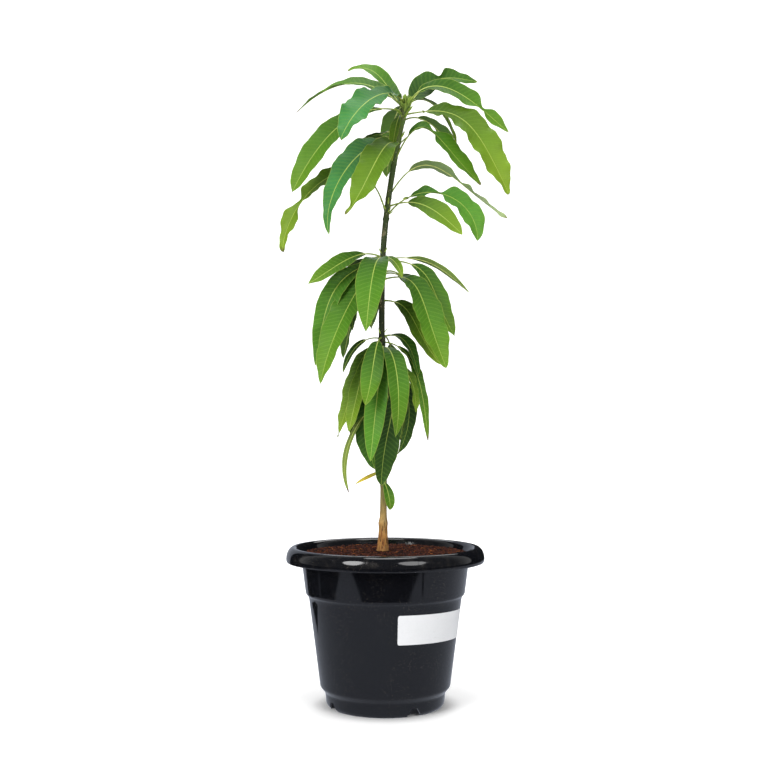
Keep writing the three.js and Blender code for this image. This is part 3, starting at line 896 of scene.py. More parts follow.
def stalk_line(leaf, rib):
    """The stalk's slender line from inside the stem to near the blade's tip, part -1 to 0 to 1."""
    even, stalk = rib[0], leaf["stalk"]
    blade = even[-1] - stalk
    on_stalk = np.linspace(0, stalk, STALK_STEPS + 1)[:-1]
    distances = np.concatenate([on_stalk, stalk + blade * np.linspace(0, RIB_END, RIB_STEPS + 1)])
    point, side, up, share = frames_of(leaf, rib, distances)
    slim = min(1.0, leaf["width"] / USUAL_WIDTH)
    swelling = STALK_SWELLING * np.exp(-distances / SWELLING_LENGTH)
    thick = STALK_RADIUS + swelling - STALK_TAPER * np.clip(distances / stalk - TAPER_FROM, 0, 1)
    thick = np.where(distances > stalk, RIB_RADIUS - RIB_TAPER * share ** 0.7, thick)
    thick = thick * (SLIMMEST + (1 - SLIMMEST) * slim)
    thick[[0, -1]] = 0
    below = RIB_BELOW * np.clip(share * 12, 0, 1)[:, None] * np.sqrt(slim)
    part = np.where(distances < stalk, distances / stalk - 1, share)
    return {"rib": (point - up * below) * MM, "side": side, "up": up, "thick": thick * MM,
            "rough": STALK_ROUGHNESS, "leaf_part": part}


lines = [stalk_line(leaf, rib) for name in LEAVES for leaf, rib in zip(LEAVES[name], ribs[name])]
stalks = grown("leaf_stalks", lines_mesh("lines", lines), rod_tree, sides=10, material=stalk_material)
drop_helpers(stalks)
settle(stalks, "leaf")

# %% [markdown]
# ## The bark
# The foot is the stock, with tan corky bark that has split lengthwise and is stained with rust.
# The graft union shows as a slight step about 4 cm above the mix. Above it the scion's bark is
# smooth, first dark and then green towards the tip, with small pale pores. A painted image would
# need the stem unwrapped, and one colour ramp up its height does not. Cracks, stains and scurf are
# noise drawn out lengthwise, and the cracks and stains fade out above the graft.

# %% Material: mango bark
UP_THE_STEM = [
    (0.0, linear(150, 106, 60)), (0.035, linear(192, 138, 74)), (0.065, linear(198, 162, 100)),
    (0.10, linear(160, 144, 86)), (0.16, linear(70, 74, 44)), (0.40, linear(38, 47, 28)),
    (0.60, linear(48, 60, 34)), (0.82, linear(62, 82, 40)), (1.0, linear(100, 128, 58)),
]
CORK_TOP, CORK_LEFT = 300.0, 0.12


def lengthwise(place, share, scale, detail, roughness):
    """Noise drawn out along the stem: the smaller the share, the longer its streaks."""
    return noise(stretched(place, 1.0, 1.0, share), scale, detail, roughness)


def ramped(factor, stops):
    """A colour ramp with the given places and colours."""
    ramp = add(factor.tree, "ShaderNodeValToRGB", {0: factor})
    elements = ramp.socket.node.color_ramp.elements
    for position, colour in stops[1:-1]:
        elements.new(position).color = colour
    elements[0].color, elements[-1].color = stops[0][1], stops[-1][1]
    return ramp


bark_material, shader, place = new_material("mango bark", specular_ior_level=0.3)
height = parts_of(place).also("Z")
patchy = height + (noise(place, 35.0) - 0.5) * 0.06
green_up = ramped((patchy - SOIL_TOP * MM) / ((STEM_TOP - SOIL_TOP) * MM), UP_THE_STEM)
corky = fade(height, GRAFT_FROM * MM, CORK_TOP * MM, 1.0, CORK_LEFT)
crack = fade(lengthwise(place, 0.12, 520.0, 5.0, 0.6), 0.47, 0.38) * corky
rust = fade(lengthwise(place, 0.2, 160.0, 4.0, 0.6), 0.50, 0.62) * corky
scurf = fade(lengthwise(place, 0.4, 110.0, 5.0, 0.65), 0.56, 0.66) * 0.5
pores = fade(cells(stretched(place, 1.0, 1.0, 0.5), 330.0), 0.22, 0.12)
pores = pores * fade(noise(place, 70.0), 0.45, 0.55) * 0.7
tone = shaded(green_up, mottle(stretched(place, 1.0, 1.0, 0.3), 160.0, 900.0, 0.32))
tone = blend(scurf, tone, linear(150, 138, 108))
tone = blend(pores, tone, linear(172, 160, 122))
tone = blend(rust * 0.7, tone, linear(132, 66, 30))
tone = blend(crack * 0.85, tone, linear(40, 26, 18))
relief = pores * 0.5 - crack * 1.2 + noise(place, 700.0, 5.0) * 0.5
finish(shader, base_color=tone, roughness=noise(place, 200.0) * 0.25 + 0.55,
       normal=bump(relief, 0.7, 0.0008))
print("bark:", len(UP_THE_STEM), "colours from foot to tip")

# %% [markdown]
# ## The stem
# The stem is one rod on the stem's line. A raised scar sits below each leaf, close rings show
# where a flush began, and the graft swells a little. They are a fraction of a millimetre high, and
# still catch the light, so they are real: small bell curves added to the radius.

# %% Grow the stem
SCAR, SCAR_BELOW, SCAR_LENGTH, SCAR_MOST = 0.5, 2.5, 2.0, 0.9
RING, RING_LENGTH, RING_GAP, RINGS = 0.28, 0.9, 4, 4
FLUSH_STARTS = (352, 398, 448, 600, 706, 800)
UNION, UNION_AT, UNION_LENGTH = 0.9, 272, 5
TIP_ROUNDING = 9
ROUGH_BELOW, CORKY_ROUGHNESS, SMOOTH_ROUGHNESS = 290, 0.00075, 0.00022


def bell(z, at, length):
    """A swelling that is one at a height and fades away over a length to either side."""
    return np.exp(-((z - at) / length) ** 2)


z = np.append(np.arange(SOIL_TOP, STEM_TOP, 1.0), STEM_TOP - 0.01)
scars = sum(SCAR * bell(z, leaf["at"] - SCAR_BELOW, SCAR_LENGTH)
            for leaves in LEAVES.values() for leaf in leaves)
rings = sum(RING * bell(z, start + RING_GAP * k, RING_LENGTH)
            for start in FLUSH_STARTS for k in range(RINGS))
radius = stem_radius(z) + np.minimum(scars, SCAR_MOST) + rings + UNION * bell(z, UNION_AT, UNION_LENGTH)
radius = radius * np.clip((STEM_TOP - z) / TIP_ROUNDING, 0, 1) ** 0.5
radius[0] = 0
flat = np.ones((len(z), 1))
line = {"rib": stem_point(z) * MM, "side": flat * (1, 0, 0), "up": flat * (0, 1, 0), "thick": radius * MM,
        "rough": np.where(z < ROUGH_BELOW, CORKY_ROUGHNESS, SMOOTH_ROUGHNESS)}
stem = grown("stem", lines_mesh("lines", [line]), rod_tree, sides=72, grain=420.0, material=bark_material)
drop_helpers(stem)
settle(stem, "bark", "trunk")

# %% [markdown]
# ## Buds and bud scales
# At the tip and at the start of each flush sit narrow pointed scales, the size of a rice grain or
# two, that once wrapped the resting bud. They are made by the blade's tree, only shorter, thicker
# and more folded, from rows of height, bearing, rise, length and width.

# %% Grow the bud scales
SCALE_STEPS, SCALE_FOLD, SCALE_BELLY = 24, math.radians(38), 0.4
SCALE_SUNK, UPTURN = 0.8, 28
SCALE_GREEN = np.array(linear(140, 168, 44)[:3])
SCALES = [
    (914, 190, 50, 16, 7.5), (910, 205, 34, 16, 8), (915, 150, 60, 15, 7), (916, 260, 48, 16, 8.5),
    (912, 300, 38, 17, 8.5), (916, 20, 60, 15, 7), (914, 340, 46, 17, 8), (911, 60, 40, 15, 7),
    (917, 100, 66, 14, 6.5), (908, 245, 22, 16, 8), (907, 120, 30, 13, 6), (917, 215, 70, 14, 7),
    (903, 275, 24, 18, 8.5), (900, 330, 30, 18, 8), (899, 215, 20, 17, 7.5), (905, 350, 50, 18, 8),
    (893, 300, 20, 16, 7), (752, 240, 30, 14, 3.4), (748, 300, 22, 12, 3.2), (757, 200, 40, 15, 3.4),
    (745, 350, 25, 12, 3.0), (760, 280, 45, 12, 3.0), (862, 330, 40, 14, 5), (855, 348, 30, 16, 5),
    (867, 5, 50, 12, 4), (684, 230, 40, 12, 3.0), (686, 310, 35, 11, 3.0), (682, 80, 35, 12, 3.0),
    (560, 240, 40, 11, 3.0), (562, 330, 35, 12, 3.0), (558, 110, 35, 11, 3.0), (345, 240, 45, 9, 2.6),
]


def scale_line(row, cell):
    """A scale's line, which turns up towards its point."""
    at, bearing, rise, length, width = row
    u = np.linspace(0, 1, SCALE_STEPS + 1)
    start = stem_point(float(at)) + heading(bearing) * (float(stem_radius(at)) - SCALE_SUNK)
    steps = np.stack([heading(bearing, angle) for angle in rise + UPTURN * u]) * length / SCALE_STEPS
    point = start + np.cumsum(steps, axis=0) - steps[0]
    side = np.tile(heading(bearing + 90), (len(u), 1))
    up = unit(np.cross(steps, side))
    return {
        "rib": point * MM, "side": side, "up": up, "half": width / 2 * outline(u, SCALE_BELLY) * MM,
        "along": length * u * MM, "share": u, "ripple": 0.0, "phase": 0.0,
        "leaf_colour": SCALE_GREEN * tint(0.45, 1.15), "leaf_glow": tint(0.3, 0.9),
        "leaf_dry": tint(0, 0.7), "leaf_veins": 0.3, "cell": cell, "crease": 0.0,
    }


grid = math.ceil(math.sqrt(len(SCALES)))
lines = [scale_line(row, (k % grid / grid, k // grid / grid, 0)) for k, row in enumerate(SCALES)]
scales = grown("bud_scales", lines_mesh("lines", lines), blade_tree, sides=16, thickness=0.0011,
               fold=SCALE_FOLD, rounding=0.0006, cell=(1 / grid, 1 / grid, 0.0), material=leaf_material)
drop_helpers(scales)
settle(scales, "leaf")

# %% [markdown]
# ## The pot
# The pot is injection-moulded black plastic about 2.5 mm thick. Its rolled rim makes it stiff
# enough to lift by, and the collar with a step lets pots nest without jamming. It is a body of
# revolution, so one section is turned: up the outside, over the rim and down the inside. A Screw
# modifier could turn it, but written out, the rings close at both poles. A mould's corners are
# rounded, so each corner of the section becomes a small arc.

# %% Turn the pot
WALL_FOOT, WALL_TOP = (98.2, 29.4), (115.5, 159.5)
POT_SECTION = [
    (0, 0), (30, 0), (36, 13), (86.2, 13), (86.2, 4.5), (83.4, 0), (85.6, 0), (89, 4.5),
    (90.8, 20.5), WALL_FOOT, WALL_TOP, (117, 164), (120.4, 167.2), (126.5, 214),
    (130.4, 224), (135, 232.6), (142, 233.4), (146.6, 226.4), (147.6, 215.4), (149.3, 214.4),
    (150.3, 218.5), (149.9, 224), (148.4, 229.4), (145.6, 234), (141.6, 237),
    (136.6, 236.8), (132.4, 233.6), (127.9, 224),
    (124, 213), (118, 169.4), (112.9, 159.5), (95.7, 30.2), (88.5, 21.6),
    (87.8, 15.5), (35.5, 15.5), (29, 2.5), (0, 2.5),
]
POT_TURN, POT_ROUNDING, ARC_STEPS = 192, 2.4, 5
LONG_WALL, GUARD, MOST_OF_SIDE = 8, 0.6, 0.45


def rounded(section, radius):
    """A section with its corners turned into short curves, no longer than the sides allow.

    A guard ring beside each curve keeps the smooth shading of the long straight walls flat.
    """
    points = [np.array(section[0], float)]
    for before, corner, after in zip(section, section[1:], section[2:]):
        before, corner, after = (np.array(point, float) for point in (before, corner, after))
        back, on = before - corner, after - corner
        reach = [min(radius, MOST_OF_SIDE * np.linalg.norm(way)) for way in (back, on)]
        first = corner + back / np.linalg.norm(back) * reach[0]
        last = corner + on / np.linalg.norm(on) * reach[1]
        if np.linalg.norm(back) > LONG_WALL:
            points.append(first + back / np.linalg.norm(back) * GUARD)
        for t in np.linspace(0, 1, ARC_STEPS + 1):
            points.append((1 - t) ** 2 * first + 2 * (1 - t) * t * corner + t ** 2 * last)
        if np.linalg.norm(on) > LONG_WALL:
            points.append(last + on / np.linalg.norm(on) * GUARD)
    points.append(np.array(section[-1], float))
    return np.array(points)


def turned(name, section, facets):
    """A closed mesh from a section of (radius, height) in mm whose two ends lie on the axis."""
    section = np.array(section, float) * MM
    angles = np.arange(facets) * 2 * math.pi / facets
    rings = [(r * math.cos(a), r * math.sin(a), h) for r, h in section[1:-1] for a in angles]
    points = [(0, 0, section[0][1]), *rings, (0, 0, section[-1][1])]
    last, faces = len(points) - 1, []
    for k in range(facets):
        n = (k + 1) % facets
        faces.append((0, 1 + n, 1 + k))
        faces.append((last, last - facets + k, last - facets + n))
        for ring in range(len(section) - 3):
            low, high = 1 + ring * facets, 1 + (ring + 1) * facets
            faces.append((low + k, low + n, high + n, high + k))
    return base_mesh(name, points, (), faces)


pot = placed("nursery_pot", turned("nursery_pot", rounded(POT_SECTION, POT_ROUNDING), POT_TURN))
print("pot turned:", len(pot.data.polygons), "faces")

# %% [markdown]
# ## Notches and drain holes
# Notches in the foot ring let the drain holes run off on a flat floor. Neither goes all the way
# round, so the section can't hold them. Each is cut out of the turned body by a solid: a wedge for
# a notch and a short cylinder for a hole, four of either, a quarter turn apart. The exact Boolean
# keeps the cut edges clean.

# %% Cut the pot
NOTCH = {"bearing": 28.5, "wide": 24, "top": 8, "tall": 12, "deep": 20, "at": 87.5}
DRAIN = {"bearing": 73, "radius": 5, "at": 68, "height": 15, "reach": 6, "sides": 24}


def cutter(name, points, faces):
    """A solid to cut with, from points in mm."""
    return placed(name, base_mesh(name, [tuple(c * MM for c in p) for p in points], (), faces))


def wedge(bearing):
    """A notch's cutter: a block that is narrower at its top."""
    inner, outer = NOTCH["at"] - NOTCH["deep"] / 2, NOTCH["at"] + NOTCH["deep"] / 2
    ahead, aside = heading(bearing), heading(bearing + 90)
    rings = [(-NOTCH["tall"], 2 * NOTCH["wide"] - NOTCH["top"]), (NOTCH["tall"], NOTCH["top"])]
    points = [ahead * r + aside * w * side / 2 + (0, 0, h) for h, w in rings
              for r, side in ((inner, -1), (outer, -1), (outer, 1), (inner, 1))]
    faces = [(3, 2, 1, 0), (4, 5, 6, 7), (0, 1, 5, 4), (1, 2, 6, 5), (2, 3, 7, 6), (3, 0, 4, 7)]
    return cutter("notch", points, faces)


def drill(bearing):
    """A drain hole's cutter: a short cylinder."""
    sides, centre = DRAIN["sides"], heading(bearing) * DRAIN["at"]
    circle = [heading(a * 360 / sides) * DRAIN["radius"] + centre for a in range(sides)]
    low, high = DRAIN["height"] - DRAIN["reach"], DRAIN["height"] + DRAIN["reach"]
    points = [(x, y, h) for h in (low, high) for x, y, _ in circle]
    faces = [tuple(range(sides - 1, -1, -1)), tuple(range(sides, 2 * sides))]
    faces += [(k, (k + 1) % sides, sides + (k + 1) % sides, sides + k) for k in range(sides)]
    return cutter("drain", points, faces)


cutters = [make(cut["bearing"] + quarter) for make, cut in ((wedge, NOTCH), (drill, DRAIN))
           for quarter in range(0, 360, 90)]
for piece in cutters:
    cut = pot.modifiers.new("cut", "BOOLEAN")
    cut.operation, cut.solver, cut.object = "DIFFERENCE", "EXACT", piece
plain(pot)
for piece in cutters:
    bpy.data.objects.remove(piece)
print("cuts:", len(cutters), "faces after them:", len(pot.data.polygons))

# %% [markdown]
# ## Glossy black plastic
# Moulded black plastic shows little colour of its own. What gives it away are flow marks left by
# the mould, one fine seam, dust, most of it near the rim, and stray specks of soil. The grey that
# rises towards the rim is partly that dust and partly a painted sheen that lightens the rim. Noise
# and cells at the place on the pot give all of them, and the seam is the same bearing all the way up.

# %% Material: black pot plastic
SEAM_BEARING, SEAM_WIDTH = -72, 0.004
DUST_AND_SHEEN_FROM, DUST_AND_SHEEN_FULL = 0.200, 0.236


def dressed(piece, material, crease=None):
    """Gives a piece its material and smooth shading, creased where faces meet at a sharper angle."""
    piece.data.materials.clear()
    piece.data.materials.append(material)
    piece.data.shade_smooth()
    if crease:
        piece.data.set_sharp_from_angle(angle=math.radians(crease))


plastic, shader, place = new_material("black pot plastic", specular_ior_level=0.5, ior=1.5)
x = parts_of(place)
angle, height = x.also("Y").maths("ARCTAN2", x), x.also("Z")
seam = fade((angle - math.radians(SEAM_BEARING)).maths("ABSOLUTE"), SEAM_WIDTH, 0.0015)
# dust and painted sheen: greyer and rougher towards the rim
dust_and_rim_sheen = fade(noise(place, 55.0, 6.0, 0.7), 0.50, 0.75) * fade(height, DUST_AND_SHEEN_FROM, DUST_AND_SHEEN_FULL, 0.25, 1.0)
specks = fade(cells(place, 420.0), 0.16, 0.08) * fade(noise(place, 24.0), 0.48, 0.6)
wipe = noise(stretched(place, 1.0, 1.0, 4.0), 14.0, 4.0)
tone = blend(dust_and_rim_sheen * 0.12, linear(13, 14, 18), linear(112, 104, 94))
tone = blend(specks * 0.35, tone, linear(150, 136, 112))
flow = noise(stretched(place, 1.0, 1.0, 0.3), 26.0, 2.0)
relief = flow * 0.6 + noise(place, 800.0) * 0.012 + seam
finish(shader, base_color=tone, roughness=wipe * 0.08 + dust_and_rim_sheen * 0.2 + specks * 0.3 + 0.035,
       normal=bump(relief, 0.16, 0.0012))
dressed(pot, plastic, crease=38)
settle(pot, "pot_plastic", "pot")

# %% [markdown]
# ## The label on the wall
# A printed sticker wraps about a fifth of the way round the wall. Here it is blank: satin white
# film with rounded corners, laid on after moulding. A patch of white in the pot's material would
# have no edge to catch the light, so it is a bent sheet with a real, thin edge. It was laid on a
# little bowed and slightly askew, so the height of its middle line is a short formula. Rows near
# its top and bottom are drawn in to round the corners.

# %% Lay on the label
LABEL = {"left": 279.0, "right": 355.0, "middle": 127.7, "tall": 42.5, "corner": 3.0,
         "bow": 0.9, "askew": 2.1, "thick": 0.2, "lift": 0.05}
LABEL_COLUMNS, LABEL_ROWS, CORNER_ROWS = 96, 11, 6


def wall_radius(height):
    """The radius of the pot's outer wall at a height."""
    return np.interp(height, [WALL_FOOT[1], WALL_TOP[1]], [WALL_FOOT[0], WALL_TOP[0]])


def label_mesh():
    """A bent sheet with an inner face, an outer face and a border between them."""
    tall, corner = LABEL["tall"], LABEL["corner"]
    ease = corner * (1 - np.cos(np.linspace(0, math.pi / 2, CORNER_ROWS + 1)))
    straight = np.linspace(corner, tall - corner, LABEL_ROWS + 1)[1:-1]
    rows = np.concatenate([ease, straight, tall - ease[::-1]])
    columns = np.linspace(-1, 1, LABEL_COLUMNS + 1)
    middle, spread_by = (LABEL["left"] + LABEL["right"]) / 2, (LABEL["right"] - LABEL["left"]) / 2
    points = []
    for out in (LABEL["lift"], LABEL["lift"] + LABEL["thick"]):
        for row in rows:
            depth = corner - min(row, tall - row, corner)
            inset = corner - math.sqrt(max(0.0, corner ** 2 - depth ** 2))
            for c in columns:
                height = LABEL["middle"] - LABEL["bow"] * c * c - LABEL["askew"] * c + row - tall / 2
                radius = float(wall_radius(height))
                half = spread_by - math.degrees(inset / radius)
                points.append(heading(middle + c * half) * (radius + out) + (0, 0, height))
    wide, deep = len(columns), len(rows)
    count, faces = wide * deep, []
    for r in range(deep - 1):
        for c in range(wide - 1):
            a = r * wide + c
            faces.append((a, a + wide, a + wide + 1, a + 1))
            faces.append((count + a, count + a + 1, count + a + wide + 1, count + a + wide))
    border = [*range(wide), *range(2 * wide - 1, count, wide),
              *range(count - 2, count - wide - 1, -1), *range(count - 2 * wide, 0, -wide)]
    for a, b in zip(border, border[1:] + border[:1]):
        faces.append((a, b, count + b, count + a))
    return base_mesh("pot_label", [tuple(p * MM) for p in points], (), faces)


film, shader, place = new_material("label film", specular_ior_level=0.5)
scuffs = fade(noise(stretched(place, 1.0, 1.0, 6.0), 90.0, 5.0, 0.7), 0.62, 0.72)
tone = blend(scuffs * 0.25, shaded(linear(232, 233, 235), mottle(place, 18.0, 300.0, 0.03)),
             linear(160, 158, 152))
finish(shader, base_color=tone, roughness=noise(place, 60.0) * 0.12 + 0.30,
       normal=bump(noise(place, 45.0, 3.0), 0.12, 0.0012))
label = placed("pot_label", label_mesh())
dressed(label, film, crease=40)
settle(label, "pot_plastic")

# %% [markdown]
# ## The potting mix
# Coir mix settles into lumps, a little lower at the wall than at the stem. The body that fills the
# pot is turned from a section like the pot itself, and noise lifts its top into lumps. Its sides
# stay smooth and clear of the wall. Loose crumbs and golden fibres are scattered on top later,
# because at close range a bumpy surface alone still looks like cloth.

# %% Fill the pot
MIX_WALL = [
    (0, 2.8), (28.5, 2.8), (35, 15.8), (87.3, 15.8), (88, 21.9), (95.2, 30.5), (112.4, 159.8),
    (117.5, 169.7), (123.5, 213.3), (126.9, 222.5),
]
MIX_EDGE, MIX_RINGS, MIX_TURN = 127.2, 56, 300
CROWN = [(30, 229), (100, 227.8), (MIX_EDGE, 226.6)]
LUMPS_END, LUMPS_FULL, LUMPS_RISE = 0.1268, 0.1231, 0.0012
CLOSE = 1e-7


def from_axis(x, y):
    """How far a place lies from the upright axis."""
    return (x * x + y * y).maths("SQRT")


mix_tree, given, leave = new_tree("Lumpy top", "GeometryNodeTree", {
    "Body": ("Geometry", None), "Lump": ("Float", 0.0042), "Grit": ("Float", 0.0022),
    "Above": ("Float", 0.2245), "Material": ("Material", None),
}, {"Mix": "Geometry"})
at = add(mix_tree, "GeometryNodeInputPosition")
x = parts_of(at)
free = fade(x.also("Z"), given("Above"), given("Above") + LUMPS_RISE)
free = free * fade(from_axis(x, x.also("Y")), LUMPS_END, LUMPS_FULL)
lumps = noise(at, 70.0, 3.0) * given("Lump") + noise(at, 260.0, 4.0, 0.6) * given("Grit")
rise = (lumps - (given("Lump") + given("Grit")) * 0.5) * free
inputs = {"Geometry": given("Body"), "Offset": joined(mix_tree, 0.0, 0.0, rise)}
surface = add(mix_tree, "GeometryNodeSetPosition", inputs)
finished(surface, given("Material"), leave, CLOSE)

soil, shader, place = new_material("potting mix", roughness=0.95, specular_ior_level=0.15)
grains = cells(place, 380.0)
threads = noise(stretched(place, 3.0, 0.5, 1.0), 260.0, 5.0, 0.7)
tone = blend(noise(place, 120.0, 6.0, 0.7), linear(18, 8, 6), linear(70, 33, 22))
# painted shade: darker in the low gaps between the grains
tone = blend(fade(grains, 0.15, 0.6) * 0.5, tone, linear(12, 6, 5))
tone = blend(fade(threads, 0.66, 0.72) * 0.6, tone, linear(134, 78, 40))
finish(shader, base_color=tone, normal=bump(noise(place, 500.0, 6.0, 0.7) - grains * 0.4, 0.9, 0.0015))

top = np.linspace(MIX_EDGE, 0, MIX_RINGS)[:-1]
section = [*MIX_WALL, *zip(top, np.interp(top, *zip(*CROWN))), (0, CROWN[0][1])]
mix = grown("potting_mix", turned("mix", section, MIX_TURN), mix_tree, material=soil)
settle(mix, "potting_mix", "potting_mix")

# %% [markdown]
# ## A tree that scatters
# Crumbs and fibres lie on the mix in thousands, and no two alike. Geometry Nodes scatters points
# on the top of the mix, away from the stem and the wall, puts a copy of a small thing on each,
# with its own size, turn and tone, and roughens them all. The same tree serves for both.

# %% Helpers for scattering
CROWN_ABOVE = 0.2235
FULL_TURN = 6.283
ROUGHENING, ROUGH_SCALE = 0.9, 900.0
TURN_SEED, SIZE_SEED, TONE_SEED = 5, 7, 9


def random(tree, low, high, seed, kind="FLOAT"):
    """A number or vector between two limits, another one for each point."""
    node = tree.nodes.new("FunctionNodeRandomValue")
    node.data_type = kind
    places = [place for place in node.inputs if place.enabled]
    for place, value in zip(places, (low, high, None, seed)):
        if value is not None:
            feed(tree, place, value)
    return Wire(tree, next(place for place in node.outputs if place.enabled))


def scattered(name, thing, flatness):
    """A tree that puts copies of a thing on the top of a surface. A flat thing tilts little."""
    tree, given, leave = new_tree(name, "GeometryNodeTree", {
        "Ground": ("Geometry", None), "Density": ("Float", 1000.0), "Smallest": ("Float", 0.001),
        "Largest": ("Float", 0.002), "Clear of stem": ("Float", 0.012), "Reach": ("Float", 0.122),
        "Seed": ("Int", 3), "Material": ("Material", None),
    }, {"Things": "Geometry"})
    at = add(tree, "GeometryNodeInputPosition")
    x = parts_of(at)
    y = x.also("Y")
    on_top = x.also("Z").maths("GREATER_THAN", CROWN_ABOVE)
    inside = from_axis(x, y).maths("LESS_THAN", given("Reach"))
    clear = from_axis(x - STEM_FOOT_X * MM, y).maths("GREATER_THAN", given("Clear of stem"))
    points = add(tree, "GeometryNodeDistributePointsOnFaces", {
        "Mesh": given("Ground"), "Density": given("Density"), "Selection": on_top * inside * clear,
        "Seed": given("Seed")})
    least, most = (-flatness, -flatness, 0.0), (flatness, flatness, FULL_TURN)
    turn = random(tree, least, most, TURN_SEED, "FLOAT_VECTOR")
    size = random(tree, given("Smallest"), given("Largest"), SIZE_SEED)
    things = add(tree, "GeometryNodeInstanceOnPoints", {
        "Points": points, "Instance": thing(tree), "Rotation": turn,
        "Scale": joined(tree, size, size, size)})
    tone = random(tree, 0.0, 1.0, TONE_SEED)
    things = keep(things, "show_tone", tone, "FLOAT", "INSTANCE")
    things = add(tree, "GeometryNodeRealizeInstances", {"Geometry": things})
    rough = add(tree, "ShaderNodeTexNoise", {"Vector": at, "Scale": ROUGH_SCALE}, out="Color")
    shift = rough.plus((-0.5, -0.5, -0.5)).times(given("Smallest") * ROUGHENING)
    things = add(tree, "GeometryNodeSetPosition", {"Geometry": things, "Offset": shift})
    finished(things, given("Material"), leave, CLOSE)
    return tree


print("scattering starts above", CROWN_ABOVE, "m")

# %% [markdown]
# ## Crumbs and fibres
# Crumbs of coir are irregular and one to five millimetres across. Coconut fibres are curled golden
# threads that lie on top in every direction. A crumb is a ball that the tree makes uneven, and
# since there are thousands of them it has only twenty faces. A fibre is a thin tube on a curve.

# %% Scatter crumbs and fibres
def crumb(tree):
    """A ball of radius one with twenty faces."""
    return add(tree, "GeometryNodeMeshIcoSphere", {"Radius": 1.0, "Subdivisions": 1})


def thread(tree):
    """A thread one unit long, curled, with five sides."""
    line = add(tree, "GeometryNodeCurvePrimitiveBezierSegment", {
        "Resolution": 6, "Start": (-0.5, 0.0, 0.0), "Start Handle": (-0.25, 0.45, 0.10),
        "End Handle": (0.15, -0.40, 0.16), "End": (0.5, 0.1, 0.02)})
    ring = add(tree, "GeometryNodeCurvePrimitiveCircle", {"Resolution": 5, "Radius": 0.015})
    inputs = {"Curve": line, "Profile Curve": ring, "Fill Caps": True}
    return add(tree, "GeometryNodeCurveToMesh", inputs)


def loose_material(name, dark, light):
    """Coir in two tones, one of them darker, with every piece somewhere between them."""
    material, shader, place = new_material(name, roughness=0.9, specular_ior_level=0.2)
    tone = shaded(blend(shown(place, "show_tone"), dark, light), mottle(place, 300.0, 1200.0, 0.25))
    finish(shader, base_color=tone, normal=bump(noise(place, 1500.0, 4.0), 0.6, 0.0006))
    return material


crumb_material = loose_material("coir crumbs", linear(16, 7, 5), linear(80, 38, 25))
crumbs = grown("mix_crumbs", mix.data.copy(), scattered("Crumbs", crumb, 3.0), density=105000.0,
               smallest=0.0006, largest=0.0023, material=crumb_material)
settle(crumbs, "potting_mix")
fibre_material = loose_material("coir fibres", linear(78, 37, 20), linear(164, 98, 50))
fibres = grown("mix_fibres", mix.data.copy(), scattered("Fibres", thread, 0.30), density=8000.0,
               smallest=0.005, largest=0.015, seed=8, material=fibre_material)
settle(fibres, "potting_mix")

# %% [markdown]
# ## The studio floor
# The sapling stands on a plain pale floor that bends up into a backdrop, so no edge shows. The
# camera sees it lit a little from within, so that it reads as white. It could be a plain plane, but
# then its far edge would cut across the picture.

# %% Lay the floor
FLOOR_FRONT, FLOOR_BACK, FLOOR_SIDE, BEND, WALL_HEIGHT = -6, 2.2, 7, 1.2, 6.0


def stage_plane():
    """A floor that bends up behind the plant."""
    bend = np.linspace(0.1, math.pi / 2, 14)
    level = np.linspace(FLOOR_FRONT, FLOOR_BACK, 12)
    deep = np.concatenate([level, FLOOR_BACK + BEND * np.sin(bend), [FLOOR_BACK + BEND]])
    tall = np.concatenate([0 * level, BEND - BEND * np.cos(bend), [WALL_HEIGHT]])
    points = [(x, y, h) for y, h in zip(deep, tall) for x in (-FLOOR_SIDE, FLOOR_SIDE)]
    faces = [(2 * k, 2 * k + 1, 2 * k + 3, 2 * k + 2) for k in range(len(deep) - 1)]
    return base_mesh("studio_floor", points, (), faces)


paper, shader, place = new_material("studio paper", roughness=0.7, specular_ior_level=0.2)
floor = placed("studio_floor", stage_plane())
dressed(floor, paper)
floor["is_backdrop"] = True

rays = add(place.tree, "ShaderNodeLightPath", out="Is Camera Ray")
x = parts_of(place)
reach = from_axis(x, x.also("Y"))
lit = rays * (fade(reach, 0.085, 0.12, 0.0, 0.36) + fade(reach, 0.12, 0.60, 0.0, 0.40))
shader.inputs["Emission Color"].default_value = (1, 1, 1, 1)
finish(shader, base_color=shaded(linear(240, 240, 240), mottle(place, 2.0, 60.0, 0.012)),
       normal=bump(noise(place, 160.0), 0.05, 0.001), emission_strength=lit)
print("floor from", FLOOR_FRONT, "to", FLOOR_BACK + BEND, "m")

# %% [markdown]
# ## What the gloss mirrors
# Glossy black plastic shows only what it mirrors. The pot's wall leans outward, so it mirrors the
# floor: bright near the pot, and further off black with a few white boards, as a photographer
# would lay them out to draw the crisp bands on the collar. Real boards would also show in the
# picture and light the leaves, so here only glossy rays see them. `side` is the bearing on the
# floor in degrees, nought in front, and `reach` the distance from the pot's axis.

# %% Lay out the white boards
INNER_EDGE, INNER_SLOPE, INNER_FROM = 0.503, 86.0, 28.5
LEFT_SLOPE, LEFT_TO, LEFT_AGAIN = -74.0, 75.0, 138.0
THIN_BOARD, THIN_LIGHT = (98.0, 100.5), 0.35
DARK_LINE, LINE_FROM, LINE_FULL = (47.8, 50.2), 0.53, 0.60
DISC_EDGE, DISC_WIDENING, DISC_SOFT = 0.48, 0.0000115, 0.012
WEDGE_POINT, WEDGE_SPREAD, WEDGE_AT, WEDGE_END = 0.45, 52.0, 124.5, 139.0
BOARD_LIGHT, DARK_LIGHT = 0.52, 0.02
BOARD_COLOUR = (0.80, 0.86, 1.0, 1.0)


def past(wire, soft=0.8):
    """One where the wire is above zero, with a soft edge."""
    return fade(wire, -soft, soft)


def outside(mask):
    """One where a mask is zero, and the reverse."""
    return mask * -1.0 + 1.0


def strip(wire, low, high):
    """One between two limits and zero beyond them, with soft ends."""
    return past(wire - low) * outside(past(wire - high))


